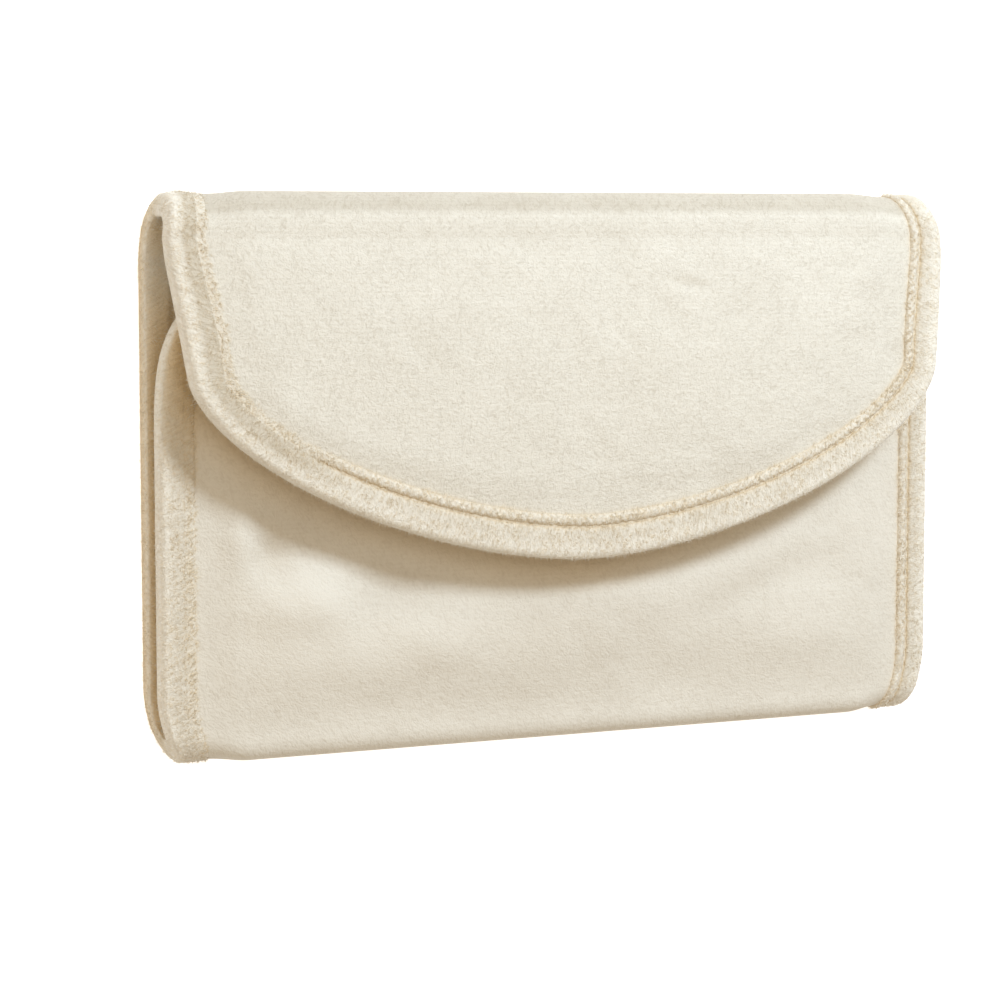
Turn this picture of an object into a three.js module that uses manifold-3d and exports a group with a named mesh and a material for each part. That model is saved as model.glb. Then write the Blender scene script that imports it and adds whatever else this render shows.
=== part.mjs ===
// A padded velvet jewelry roll, folded in three and closed, lying on its back.
// Millimetres. +X runs along the roll, +Y towards the top fold, +Z out of the front face.
// Each panel is velvet, wadding and lining, with a folded tape bound round its free edges.
import * as THREE from 'three';
import { mergeVertices } from 'three/addons/utils/BufferGeometryUtils.js';
import Module from 'manifold-3d';

const wasm = await Module();
wasm.setup();

// Overall sizes of the closed roll
const ROLL_WIDTH = 236;
const ROLL_HEIGHT = 152;
const BOTTOM_FOLD_DEPTH = 19;
const FLAP_OVER_FRONT = 0.5;
const BOTTOM_REAR_RADIUS = 10;
const BOTTOM_FRONT_RADIUS = 8;
const TOP_REAR_RADIUS = 10;
const TOP_FRONT_RADIUS = 12;

// Outlines of the two free panels: straight sides, then a rounded end
const FRONT_EDGE_SETBACK = 14;
const FRONT_END_REACH = 57;
const FRONT_END_SQUARENESS = 4;
const FLAP_TIP_FROM_BOTTOM = 52;
const FLAP_STRAIGHT_SIDE = 37;
const FLAP_SIDE_DRAW_IN = 12.3;
const FLAP_END_SQUARENESS = 1.72;
const FLAP_RISE = 9;
const FRONT_CROWN = 3;
const CROWN_FROM_BOTTOM = 34;
const CROWN_SPREAD = 26;
const CROWN_START = 15;

// Cloth layers and the edge binding
const VELVET = 1.2;
const WADDING = 2.4;
const WADDING_AT_EDGE = 0.8;
const LINING = 1.0;
const LAYER_GAP = 0.3;
const BINDING_CLOTH = 1.1;
const BINDING_WIDTH = 10;
const BINDING_SET_IN = 0.1;
const BINDING_ROUND = 2.6;
const BINDING_ROUND_STEP = 0.3;
const EDGE_CLEAR = 0.5;
const EDGE_TAPER = 11;
const MITRE_GAP = 0.3;

// Closing magnets, sewn in between velvet and lining
const MAGNET_LENGTH = 60;
const MAGNET_WIDTH = 12;
const MAGNET_FROM_FLAP_TIP = 34;

// Ring bar on the back panel
const RING_BAR_FROM_BOTTOM = 31;
const RING_BAR_SIDE_MARGIN = 18;
const RING_BAR_WIDTH = 12;
const RING_BAR_HEIGHT = 7.8;
const TAB_LENGTH = 30;
const TAB_WIDTH = 16;
const TAB_CLOTH = 1.2;
const SNAP_RADIUS = 5;
const SNAP_PLATE = 1.4;
const SNAP_POST_RADIUS = 1.8;

// Zip pocket on the back panel
const POCKET_FROM_BOTTOM = 48;
const POCKET_SIDE_MARGIN = 18;
const POCKET_CLOTH = 0.6;
const POCKET_ROOM = 4.5;
const POCKET_HEM = 4;
const POCKET_SLOPE = 6;
const ZIP_FROM_TOP = 36;
const ZIP_WINDOW = 9;
const ZIP_TAPE_WIDTH = 10.1;
const ZIP_TAPE = 0.6;
const ZIP_SLOT = 0.8;
const ZIP_COIL_WIDTH = 1.6;
const ZIP_COIL_HEIGHT = 1.8;
const ZIP_END_MARGIN = 34;
const ZIP_STOP_LENGTH = 2.7;
const POCKET_FACING = 18;
const SLIDER_LENGTH = 9;
const SLIDER_WIDTH = 7.6;
const SLIDER_PLATE = 0.9;
const SLIDER_POST = 0.4;
const BRIDGE_OUTER = 5.9;
const BRIDGE_LEG = 0.9;
const BRIDGE_WIDTH = 1.6;
const BRIDGE_BAR = 0.6;
const PULL_LENGTH = 20;
const PULL_WIDTH = 5.2;
const PULL_PLATE = 0.8;
const PULL_EYE_LENGTH = 3.2;
const PULL_EYE_WIDTH = 3.2;
const PULL_CROSSBAR = 1.5;
const SLIDER_PARKED_FROM_STOP = 10;

// Slip pocket on the inside of the front panel
const SLIP_CLEAR_OF_ZIP = 9;
const SLIP_HEIGHT = 46;
const SLIP_SIDE_MARGIN = 23;
const SLIP_CLOTH = 0.6;
const SLIP_HEM_WIDTH = 3;
const SLIP_HEM = 1.2;

// Sizes that follow from the ones above
const halfWidth = ROLL_WIDTH / 2;
const bottomY = -ROLL_HEIGHT / 2;
const topY = ROLL_HEIGHT / 2;
const panelDepth = VELVET + WADDING + LINING + 2 * LAYER_GAP;
const edgeStack = VELVET + WADDING_AT_EDGE + LINING + 2 * LAYER_GAP;
const edgeStart = BINDING_SET_IN + BINDING_CLOTH + LAYER_GAP;
const bindingDepth = edgeStart + edgeStack + LAYER_GAP + BINDING_CLOTH;
const topFoldDepth = BOTTOM_FOLD_DEPTH + bindingDepth + FLAP_OVER_FRONT;
const edgeInset = BINDING_CLOTH + LAYER_GAP;
const taperInset = BINDING_WIDTH + EDGE_CLEAR;
const rightAngle = Math.PI / 2;
const halfTurn = Math.PI;
const mitre = Math.PI / 4;
const arcSteps = 2;
const endSteps = 10;
const innerColumns = 6;

// Depth of each layer below the panel's outer face, in the padded middle and under the binding
const layers = {
  velvet: { middle: [0, VELVET], edge: [edgeStart, edgeStart + VELVET] },
  wadding: {
    middle: [VELVET + LAYER_GAP, VELVET + LAYER_GAP + WADDING],
    edge: [edgeStart + VELVET + LAYER_GAP, edgeStart + VELVET + LAYER_GAP + WADDING_AT_EDGE],
  },
  lining: {
    middle: [panelDepth - LINING, panelDepth],
    edge: [edgeStart + edgeStack - LINING, edgeStart + edgeStack],
  },
};

// Insets of the grid lines beside a bound edge, and how padded the panel is on each
const edgeColumns = [
  { inset: edgeInset, padding: 0 },
  { inset: taperInset, padding: 0 },
  { inset: taperInset + EDGE_TAPER / 2, padding: 0.5 },
  { inset: taperInset + EDGE_TAPER, padding: 1 },
];

const finishes = {
  velvet: { color: 0xe9e2d0, roughness: 0.95, metalness: 0 },
  wadding: { color: 0xf4f2ec, roughness: 1, metalness: 0 },
  lining: { color: 0xe4dac4, roughness: 0.85, metalness: 0 },
  binding: { color: 0xe3d9c3, roughness: 0.95, metalness: 0 },
  tape: { color: 0xd9ccb2, roughness: 0.8, metalness: 0 },
  coil: { color: 0xcdbf9f, roughness: 0.5, metalness: 0 },
  metal: { color: 0xd8c9a3, roughness: 0.3, metalness: 1 },
  magnet: { color: 0x3c3a38, roughness: 0.7, metalness: 0 },
};

const roll = new THREE.Group();

function addPiece(name, finish, geometry) {
  const mesh = new THREE.Mesh(geometry, new THREE.MeshStandardMaterial(finishes[finish]));
  mesh.name = name;
  roll.add(mesh);
  return mesh;
}

// Closed geometry from corner positions and faces of corner numbers, turned so that its faces point out
function closedGeometry(corners, triangles) {
  const loose = new THREE.BufferGeometry();
  loose.setAttribute('position', new THREE.Float32BufferAttribute(corners.flat(), 3));
  loose.setIndex(triangles.flat());
  const merged = mergeVertices(loose, 1e-4);
  const position = merged.getAttribute('position');
  const index = merged.getIndex();
  const kept = [];
  let volume = 0;
  const [a, b, c] = [new THREE.Vector3(), new THREE.Vector3(), new THREE.Vector3()];
  for (let i = 0; i < index.count; i += 3) {
    const face = [index.getX(i), index.getX(i + 1), index.getX(i + 2)];
    if (new Set(face).size < 3) continue;
    kept.push(face);
    a.fromBufferAttribute(position, face[0]);
    b.fromBufferAttribute(position, face[1]);
    c.fromBufferAttribute(position, face[2]);
    volume += a.dot(b.cross(c));
  }
  merged.setIndex(kept.flatMap((face) => (volume < 0 ? [face[0], face[2], face[1]] : face)));
  return merged;
}

// A closed slab between two grids of points of the same size
function slabGeometry(outer, inner, lastRowMeetsItself) {
  const rows = outer.length;
  const columns = outer[0].length;
  const corners = [...outer.flat(), ...inner.flat()];
  const outerAt = (row, column) => row * columns + column;
  const innerAt = (row, column) => rows * columns + row * columns + column;
  const triangles = [];
  const quad = (p, q, r, s) => triangles.push([p, q, r], [p, r, s]);
  for (let row = 0; row + 1 < rows; row += 1) {
    for (let column = 0; column + 1 < columns; column += 1) {
      const [below, beside] = [row + 1, column + 1];
      quad(outerAt(row, column), outerAt(row, beside), outerAt(below, beside), outerAt(below, column));
      quad(innerAt(row, column), innerAt(below, column), innerAt(below, beside), innerAt(row, beside));
    }
    quad(outerAt(row + 1, 0), innerAt(row + 1, 0), innerAt(row, 0), outerAt(row, 0));
    const end = columns - 1;
    quad(outerAt(row, end), innerAt(row, end), innerAt(row + 1, end), outerAt(row + 1, end));
  }
  for (let column = 0; column + 1 < columns; column += 1) {
    quad(outerAt(0, column), innerAt(0, column), innerAt(0, column + 1), outerAt(0, column + 1));
    if (lastRowMeetsItself) continue;
    const end = rows - 1;
    quad(outerAt(end, column + 1), innerAt(end, column + 1), innerAt(end, column), outerAt(end, column));
  }
  return closedGeometry(corners, triangles);
}

// A closed solid swept through rings of points that all have the same outline
function sweepGeometry(rings, outline) {
  const size = outline.length;
  const triangles = [];
  for (let ring = 0; ring + 1 < rings.length; ring += 1) {
    for (let i = 0; i < size; i += 1) {
      const next = (i + 1) % size;
      const [p, q] = [ring * size + i, ring * size + next];
      triangles.push([p, q, q + size], [p, q + size, p + size]);
    }
  }
  const last = (rings.length - 1) * size;
  const turn = Math.sign(THREE.ShapeUtils.area(outline));
  for (const face of THREE.ShapeUtils.triangulateShape(outline, [])) {
    const sameTurn = Math.sign(THREE.ShapeUtils.area(face.map((i) => outline[i]))) === turn;
    const [p, q, r] = sameTurn ? face : face.toReversed();
    triangles.push([r, q, p], [last + p, last + q, last + r]);
  }
  return closedGeometry(rings.flat(), triangles);
}

function solidOf(geometry) {
  const plain = geometry.clone();
  plain.deleteAttribute('normal');
  plain.deleteAttribute('uv');
  const merged = mergeVertices(plain, 1e-4);
  const vertProperties = new Float32Array(merged.getAttribute('position').array);
  const triVerts = new Uint32Array(merged.getIndex().array);
  return new wasm.Manifold(new wasm.Mesh({ numProp: 3, vertProperties, triVerts }));
}

function geometryOf(solid) {
  const mesh = solid.getMesh();
  const geometry = new THREE.BufferGeometry();
  geometry.setAttribute('position', new THREE.Float32BufferAttribute(mesh.vertProperties, 3));
  geometry.setIndex(Array.from(mesh.triVerts));
  return geometry;
}

const fuse = (...pieces) => geometryOf(pieces.map(solidOf).reduce((whole, piece) => whole.add(piece)));
const cut = (piece, tool) => geometryOf(solidOf(piece).subtract(solidOf(tool)));

// A box given by its lowest and highest corner
function block(low, high) {
  const size = high.map((value, axis) => value - low[axis]);
  const box = new THREE.BoxGeometry(...size);
  box.translate(...low.map((value, axis) => value + size[axis] / 2));
  return box;
}

// A row across a panel where its outer face follows a fold: place and inward direction in the Y-Z plane
function foldRow(centre, radius, angle) {
  const [across, up] = [Math.cos(angle), Math.sin(angle)];
  const [y, z] = [centre[0] + radius * across, centre[1] + radius * up];
  return { y, z, inY: -across, inZ: -up, spread: 1, reach: 0 };
}

function foldRows(centre, radius, from, to) {
  const turns = Array.from({ length: arcSteps + 1 }, (_, step) => from + ((to - from) * step) / arcSteps);
  return turns.map((angle) => foldRow(centre, radius, angle));
}

// A row on a flat panel at a height along the roll; spread and reach shape the rounded end
function flatRow(y, inZ, spread = 1, reach = 0) {
  return { y, inY: 0, inZ, spread, reach };
}

function endRows(y, inZ, squareness) {
  const turns = Array.from({ length: endSteps }, (_, step) => ((step + 1) / endSteps) * rightAngle);
  const power = 2 / squareness;
  return turns.map((angle) => {
    const spread = Math.max(Math.cos(angle), 0) ** power;
    return flatRow(y, inZ, angle === rightAngle ? 0 : spread, Math.sin(angle) ** power);
  });
}

// A point of a panel: its row, how far across the row, the inset from the edge and the depth below the face
function panelPoint(panel, row, across, inset, depth) {
  const y = row.y + (row.reach ? panel.endDirection * (panel.endReach - inset) * row.reach : 0);
  const half = panel.halfWidthAt ? panel.halfWidthAt(y) : halfWidth;
  const x = across * (half - inset) * row.spread;
  const face = row.z ?? panel.face(x, y);
  return [x, y + row.inY * depth, face + row.inZ * depth];
}

function layerGeometry(panel, layer) {
  const { middle, edge } = layers[layer];
  const depthAt = (padding, side) => edge[side] + (middle[side] - edge[side]) * padding;
  const innermost = edgeColumns[edgeColumns.length - 1];
  const between = Array.from({ length: innerColumns - 1 }, (_, i) => -1 + (2 * (i + 1)) / innerColumns);
  const columns = [
    ...edgeColumns.map((column) => ({ ...column, across: -1 })),
    ...between.map((across) => ({ ...innermost, across })),
    ...edgeColumns.toReversed().map((column) => ({ ...column, across: 1 })),
  ];
  const grid = (side) => panel.rows.map((row) => columns.map(({ across, inset, padding }) => (
    panelPoint(panel, row, across, inset, depthAt(padding, side)))));
  return slabGeometry(grid(0), grid(1), panel.hasRoundedEnd);
}

// Section of the folded binding tape, as inset from the edge and depth below the panel's face
function bindingSection() {
  const [face, back] = [BINDING_SET_IN, bindingDepth];
  const step = BINDING_ROUND * BINDING_ROUND_STEP;
  return [
    [BINDING_WIDTH, face], [BINDING_ROUND, face], [step, face + step], [0, face + BINDING_ROUND],
    [0, back - BINDING_ROUND], [step, back - step], [BINDING_ROUND, back], [BINDING_WIDTH, back],
    [BINDING_WIDTH, back - BINDING_CLOTH], [BINDING_CLOTH, back - BINDING_CLOTH],
    [BINDING_CLOTH, face + BINDING_CLOTH], [BINDING_WIDTH, face + BINDING_CLOTH],
  ].map(([inset, depth]) => new THREE.Vector2(inset, depth));
}

function bindingGeometry(panel, sides) {
  const outline = bindingSection();
  const ring = (row, side) => outline.map(({ x, y }) => panelPoint(panel, row, side, x, y));
  const leftward = panel.rows.map((row) => ring(row, sides[0]));
  if (sides.length === 1) return sweepGeometry(leftward, outline);
  const rightward = panel.rows.slice(0, -1).toReversed().map((row) => ring(row, sides[1]));
  return sweepGeometry([...leftward, ...rightward], outline);
}

// The folds turn at two corners each, and every corner is mitred between the pieces that meet there
const corners = {
  bottomRear: { centre: [bottomY + BOTTOM_REAR_RADIUS, BOTTOM_REAR_RADIUS], radius: BOTTOM_REAR_RADIUS },
  bottomFront: {
    centre: [bottomY + BOTTOM_FRONT_RADIUS, BOTTOM_FOLD_DEPTH - BOTTOM_FRONT_RADIUS],
    radius: BOTTOM_FRONT_RADIUS,
  },
  topRear: { centre: [topY - TOP_REAR_RADIUS, TOP_REAR_RADIUS], radius: TOP_REAR_RADIUS },
  topFront: { centre: [topY - TOP_FRONT_RADIUS, topFoldDepth - TOP_FRONT_RADIUS], radius: TOP_FRONT_RADIUS },
};

// Rows from a corner's mitre to one of its straight ends, leaving half the gap open at the mitre
function cornerRows({ centre, radius }, mitreAngle, endAngle) {
  const half = Math.asin(MITRE_GAP / 2 / (radius - bindingDepth));
  return foldRows(centre, radius, mitreAngle + Math.sign(endAngle - mitreAngle) * half, endAngle);
}

const smooth = (value) => {
  const t = Math.min(Math.max(value, 0), 1);
  return t * t * (3 - 2 * t);
};

// Height of the front panel's outer face, with the crown that its contents push up below the flap
const frontStartY = corners.bottomFront.centre[0];
const frontEndY = topY - FRONT_EDGE_SETBACK - FRONT_END_REACH;
const crownY = bottomY + CROWN_FROM_BOTTOM;
function frontFace(x, y) {
  const along = Math.exp(-(((y - crownY) / CROWN_SPREAD) ** 2)) * smooth((y - frontStartY) / CROWN_START);
  const across = Math.max(1 - (x / (halfWidth - taperInset)) ** 4, 0);
  return BOTTOM_FOLD_DEPTH + FRONT_CROWN * along * across;
}

// Height of the flap's outer face, which stands away from the front panel towards its tip
const flapStartY = corners.topFront.centre[0];
const flapTipY = bottomY + FLAP_TIP_FROM_BOTTOM;
const flapEndY = flapStartY - FLAP_STRAIGHT_SIDE;
const alongFlap = (y) => Math.max(flapStartY - y, 0) / (flapStartY - flapTipY);
function flapFace(x, y) {
  const along = alongFlap(y);
  return topFoldDepth + FLAP_RISE * along * (2 - along);
}

// The flap's sides draw in from the fold to its tip
const flapHalfWidth = (y) => halfWidth - FLAP_SIDE_DRAW_IN * alongFlap(y);

const [up, down] = [1, -1];
const spread = (from, to, steps) => (
  Array.from({ length: steps }, (_, i) => from + ((to - from) * (i + 1)) / steps));

const panels = {
  back: {
    rows: [
      ...cornerRows(corners.bottomRear, halfTurn + mitre, halfTurn + rightAngle),
      ...cornerRows(corners.topRear, 2 * halfTurn - mitre, halfTurn + rightAngle).toReversed(),
    ],
  },
  bottom_fold: {
    rows: [
      ...cornerRows(corners.bottomRear, halfTurn + mitre, halfTurn),
      ...cornerRows(corners.bottomFront, halfTurn - mitre, halfTurn).toReversed(),
    ],
  },
  front: {
    face: frontFace,
    endDirection: 1,
    endReach: FRONT_END_REACH,
    hasRoundedEnd: true,
    rows: [
      ...cornerRows(corners.bottomFront, halfTurn - mitre, rightAngle),
      ...spread(frontStartY, frontEndY, 6).map((y) => flatRow(y, down)),
      ...endRows(frontEndY, down, FRONT_END_SQUARENESS),
    ],
  },
  top_fold: {
    rows: [
      ...cornerRows(corners.topRear, -mitre, 0),
      ...cornerRows(corners.topFront, mitre, 0).toReversed(),
    ],
  },
  flap: {
    face: flapFace,
    halfWidthAt: flapHalfWidth,
    endDirection: -1,
    endReach: flapEndY - flapTipY,
    hasRoundedEnd: true,
    rows: [
      ...cornerRows(corners.topFront, mitre, rightAngle),
      ...spread(flapStartY, flapEndY, 4).map((y) => flatRow(y, down)),
      ...endRows(flapEndY, down, FLAP_END_SQUARENESS),
    ],
  },
};

// A flexible magnet strip in the middle of the wadding, lying along the panel's own slope
const magnetY = flapTipY + MAGNET_FROM_FLAP_TIP;
const magnetDepth = layers.wadding.middle[0] + WADDING / 2;
function magnetBlock(panel, clearance) {
  const reach = MAGNET_WIDTH / 2;
  const slope = (panel.face(0, magnetY + reach) - panel.face(0, magnetY - reach)) / MAGNET_WIDTH;
  const size = [MAGNET_LENGTH, MAGNET_WIDTH, WADDING];
  const strip = new THREE.BoxGeometry(...size.map((value) => value + clearance));
  strip.rotateX(Math.atan(slope));
  strip.translate(0, magnetY, panel.face(0, magnetY) - magnetDepth);
  return strip;
}

for (const [name, panel] of Object.entries(panels)) {
  const hasMagnet = panel.hasRoundedEnd;
  const wadding = layerGeometry(panel, 'wadding');
  const pocket = hasMagnet && magnetBlock(panel, 2 * LAYER_GAP);
  addPiece(`${name}_velvet`, 'velvet', layerGeometry(panel, 'velvet'));
  addPiece(`${name}_wadding`, 'wadding', hasMagnet ? cut(wadding, pocket) : wadding);
  addPiece(`${name}_lining`, 'lining', layerGeometry(panel, 'lining'));
  if (hasMagnet) {
    addPiece(`${name}_binding`, 'binding', bindingGeometry(panel, [-1, 1]));
    addPiece(`${name}_magnet_strip`, 'magnet', magnetBlock(panel, -LAYER_GAP));
  } else {
    addPiece(`${name}_binding_left`, 'binding', bindingGeometry(panel, [-1]));
    addPiece(`${name}_binding_right`, 'binding', bindingGeometry(panel, [1]));
  }
}

// The ring bar is a stuffed roll with a flat tab at each end: one sewn down, one held by a snap
const liningTop = panelDepth;
const ringBarY = bottomY + RING_BAR_FROM_BOTTOM;
const ringBarHalf = halfWidth - RING_BAR_SIDE_MARGIN - TAB_LENGTH;
const ringBarBase = liningTop + LAYER_GAP;
function ringBar() {
  const radius = RING_BAR_HEIGHT / 2;
  const dome = [0, 1, 2, 3].map((step) => (step / 3) * rightAngle);
  const endOf = (angle) => ringBarHalf - radius + radius * Math.cos(angle);
  const round = (direction) => dome.map((angle) => (
    new THREE.Vector2(radius * Math.sin(angle), direction * endOf(angle))));
  const bar = new THREE.LatheGeometry([...round(-1), ...round(1).toReversed()], 12);
  bar.rotateZ(rightAngle);
  bar.scale(1, RING_BAR_WIDTH / RING_BAR_HEIGHT, 1);
  bar.translate(0, ringBarY, ringBarBase + radius);
  return bar;
}

const tabStart = ringBarHalf + LAYER_GAP;
const tabBase = ringBarBase + SNAP_PLATE + LAYER_GAP;
const snapX = -(tabStart + TAB_LENGTH / 2);
const disc = (radius, height, x, base) => {
  const piece = new THREE.CylinderGeometry(radius, radius, height, 20);
  piece.rotateX(rightAngle);
  piece.translate(x, ringBarY, base + height / 2);
  return piece;
};

function tab(side, base) {
  const [near, far] = [side * tabStart, side * (tabStart + TAB_LENGTH)];
  const low = [Math.min(near, far), ringBarY - TAB_WIDTH / 2, base];
  const high = [Math.max(near, far), ringBarY + TAB_WIDTH / 2, base + TAB_CLOTH];
  return block(low, high);
}

const postHole = disc(SNAP_POST_RADIUS + LAYER_GAP, 3 * TAB_CLOTH, snapX, tabBase - TAB_CLOTH);
const capBase = tabBase + TAB_CLOTH + LAYER_GAP;
const postBase = ringBarBase + SNAP_PLATE + LAYER_GAP;
addPiece('ring_bar', 'velvet', ringBar());
addPiece('ring_bar_sewn_tab', 'velvet', tab(1, ringBarBase));
addPiece('ring_bar_snap_tab', 'velvet', cut(tab(-1, tabBase), postHole));
addPiece('ring_bar_snap_base', 'metal', disc(SNAP_RADIUS, SNAP_PLATE, snapX, ringBarBase));
addPiece('ring_bar_snap_cap', 'metal', fuse(
  disc(SNAP_RADIUS, SNAP_PLATE, snapX, capBase),
  disc(SNAP_POST_RADIUS, capBase + SNAP_PLATE / 2 - postBase, snapX, postBase),
));

// The zip pocket is a cloth raised off the lining, with the zip in a window near its upper edge
const pocketHalf = halfWidth - POCKET_SIDE_MARGIN;
const pocketBottom = bottomY + POCKET_FROM_BOTTOM;
const zipY = topY - ZIP_FROM_TOP;
const windowHalf = ZIP_WINDOW / 2;
const pocketRise = POCKET_ROOM - LAYER_GAP;
const pocketUnder = liningTop + POCKET_ROOM;

// Cloth that is sewn down along three sides and raised inside them
function raisedCloth(sewnY, mouthY) {
  const direction = Math.sign(mouthY - sewnY);
  const foot = sewnY + direction * POCKET_HEM;
  const crest = foot + direction * POCKET_SLOPE;
  const slopeEnd = pocketHalf - POCKET_HEM - POCKET_SLOPE;
  const columns = [
    [-pocketHalf, 0], [-pocketHalf + POCKET_HEM, 0], [-slopeEnd, 1],
    [slopeEnd, 1], [pocketHalf - POCKET_HEM, 0], [pocketHalf, 0],
  ];
  const rows = [[sewnY, 0], [foot, 0], [crest, 1], [mouthY, 1]];
  const base = liningTop + LAYER_GAP;
  const grid = (thickness) => rows.map(([y, rowRise]) => columns.map(([x, columnRise]) => (
    [x, y, base + pocketRise * Math.min(rowRise, columnRise) + thickness])));
  return slabGeometry(grid(0), grid(POCKET_CLOTH), false);
}

const lowerWindow = zipY - windowHalf;
const upperWindow = zipY + windowHalf;
addPiece('pocket_panel', 'lining', raisedCloth(pocketBottom, lowerWindow));
addPiece('pocket_facing', 'lining', raisedCloth(upperWindow + POCKET_FACING, upperWindow));

const zipHalf = halfWidth - ZIP_END_MARGIN;
const tapeHalf = zipHalf + ZIP_STOP_LENGTH + 2 * LAYER_GAP;
const tapeTop = pocketUnder - LAYER_GAP;
const coilMiddle = tapeTop - ZIP_TAPE / 2;
for (const [name, side] of [['lower', -1], ['upper', 1]]) {
  const coilNear = zipY + (side * ZIP_SLOT) / 2;
  const coilFar = coilNear + side * ZIP_COIL_WIDTH;
  const tapeNear = coilFar + side * LAYER_GAP;
  const tapeFar = tapeNear + side * ZIP_TAPE_WIDTH;
  addPiece(`zip_tape_${name}`, 'tape', block(
    [-tapeHalf, Math.min(tapeNear, tapeFar), tapeTop - ZIP_TAPE],
    [tapeHalf, Math.max(tapeNear, tapeFar), tapeTop],
  ));
  addPiece(`zip_coil_${name}`, 'coil', block(
    [-zipHalf, Math.min(coilNear, coilFar), coilMiddle - ZIP_COIL_HEIGHT / 2],
    [zipHalf, Math.max(coilNear, coilFar), coilMiddle + ZIP_COIL_HEIGHT / 2],
  ));
}

const coilTop = coilMiddle + ZIP_COIL_HEIGHT / 2;
const coilBottom = coilMiddle - ZIP_COIL_HEIGHT / 2;
for (const [name, side] of [['left', -1], ['right', 1]]) {
  const [near, far] = [side * (zipHalf + LAYER_GAP), side * (zipHalf + LAYER_GAP + ZIP_STOP_LENGTH)];
  addPiece(`zip_stop_${name}`, 'metal', block(
    [Math.min(near, far), zipY - SLIDER_WIDTH / 2, tapeTop + LAYER_GAP],
    [Math.max(near, far), zipY + SLIDER_WIDTH / 2, tapeTop + LAYER_GAP + SLIDER_PLATE],
  ));
}

// The slider's two plates are joined by a thin post in the slot, and carry a bridge for the pull
const sliderX = zipHalf - SLIDER_PARKED_FROM_STOP;
const plateBase = coilTop + LAYER_GAP;
const plateTop = plateBase + SLIDER_PLATE;
const pullBase = plateTop + LAYER_GAP;
const bridgeBar = pullBase + PULL_PLATE + LAYER_GAP;
function slider() {
  const [long, wide] = [SLIDER_LENGTH / 2, SLIDER_WIDTH / 2];
  const under = coilBottom - LAYER_GAP;
  const [outer, bridge] = [BRIDGE_OUTER / 2, BRIDGE_WIDTH / 2];
  const at = (low, high) => block(
    [sliderX + low[0], zipY + low[1], low[2]],
    [sliderX + high[0], zipY + high[1], high[2]],
  );
  return fuse(
    at([-long, -wide, plateBase], [long, wide, plateTop]),
    at([-long, -wide, under - SLIDER_PLATE], [long, wide, under]),
    at(
      [-outer, -SLIDER_POST / 2, under - SLIDER_PLATE / 2],
      [outer, SLIDER_POST / 2, plateBase + SLIDER_PLATE / 2],
    ),
    at([-outer, -bridge, plateBase], [-outer + BRIDGE_LEG, bridge, bridgeBar + BRIDGE_BAR]),
    at([outer - BRIDGE_LEG, -bridge, plateBase], [outer, bridge, bridgeBar + BRIDGE_BAR]),
    at([-outer, -bridge, bridgeBar], [outer, bridge, bridgeBar + BRIDGE_BAR]),
  );
}

// The pull lies flat, with its eye round one leg of the bridge and its crossbar under the bridge
function pull() {
  const pivotX = sliderX - BRIDGE_OUTER / 2 + BRIDGE_LEG / 2;
  const shape = new THREE.Shape();
  const half = PULL_WIDTH / 2;
  const eyeEnd = PULL_EYE_LENGTH / 2;
  shape.moveTo(eyeEnd + PULL_CROSSBAR, -half);
  shape.lineTo(eyeEnd + PULL_CROSSBAR, half);
  shape.lineTo(half - PULL_LENGTH, half);
  shape.absarc(half - PULL_LENGTH, 0, half, rightAngle, halfTurn + rightAngle, false);
  shape.closePath();
  const eye = new THREE.Path();
  const eyeHalf = PULL_EYE_WIDTH / 2;
  eye.moveTo(-eyeEnd, -eyeHalf);
  eye.lineTo(eyeEnd, -eyeHalf);
  eye.lineTo(eyeEnd, eyeHalf);
  eye.lineTo(-eyeEnd, eyeHalf);
  eye.closePath();
  shape.holes.push(eye);
  const form = { depth: PULL_PLATE, bevelEnabled: false, curveSegments: 5 };
  const plate = new THREE.ExtrudeGeometry(shape, form);
  plate.translate(pivotX, zipY, pullBase);
  return plate;
}

addPiece('zip_slider', 'metal', slider());
addPiece('zip_pull', 'metal', pull());

// The slip pocket lies flat on the front panel's lining, with a hem along its mouth
const slipHalf = halfWidth - SLIP_SIDE_MARGIN;
const slipTop = zipY - SLIDER_WIDTH / 2 - SLIP_CLEAR_OF_ZIP - SLIP_HEM_WIDTH;
const slipBottom = slipTop - SLIP_HEIGHT;
function clothUnderFront(fromY, toY, rowCount, thickness) {
  const depth = panelDepth + LAYER_GAP;
  const rows = [fromY, ...spread(fromY, toY, rowCount)];
  const columns = [-slipHalf, ...spread(-slipHalf, slipHalf, 6)];
  const grid = (below) => rows.map((y) => columns.map((x) => [x, y, frontFace(x, y) - depth - below]));
  return slabGeometry(grid(0), grid(thickness), false);
}

addPiece('slip_pocket', 'lining', clothUnderFront(slipBottom, slipTop, 4, SLIP_CLOTH));
const hemStart = slipTop + LAYER_GAP;
addPiece('slip_pocket_hem', 'binding', clothUnderFront(hemStart, hemStart + SLIP_HEM_WIDTH, 1, SLIP_HEM));

export default roll;
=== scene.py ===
"""Looks of a cream velvet jewelry roll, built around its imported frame.

The roll lies on its back: +X along the roll, +Y to the top fold, +Z out of the front face, in metres.
"""

import logging
import math
from collections.abc import Callable, Sequence
from dataclasses import dataclass
from enum import Enum
from functools import cached_property

import bmesh
import bpy
import numpy as np
from mathutils import Matrix, Vector, noise


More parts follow.
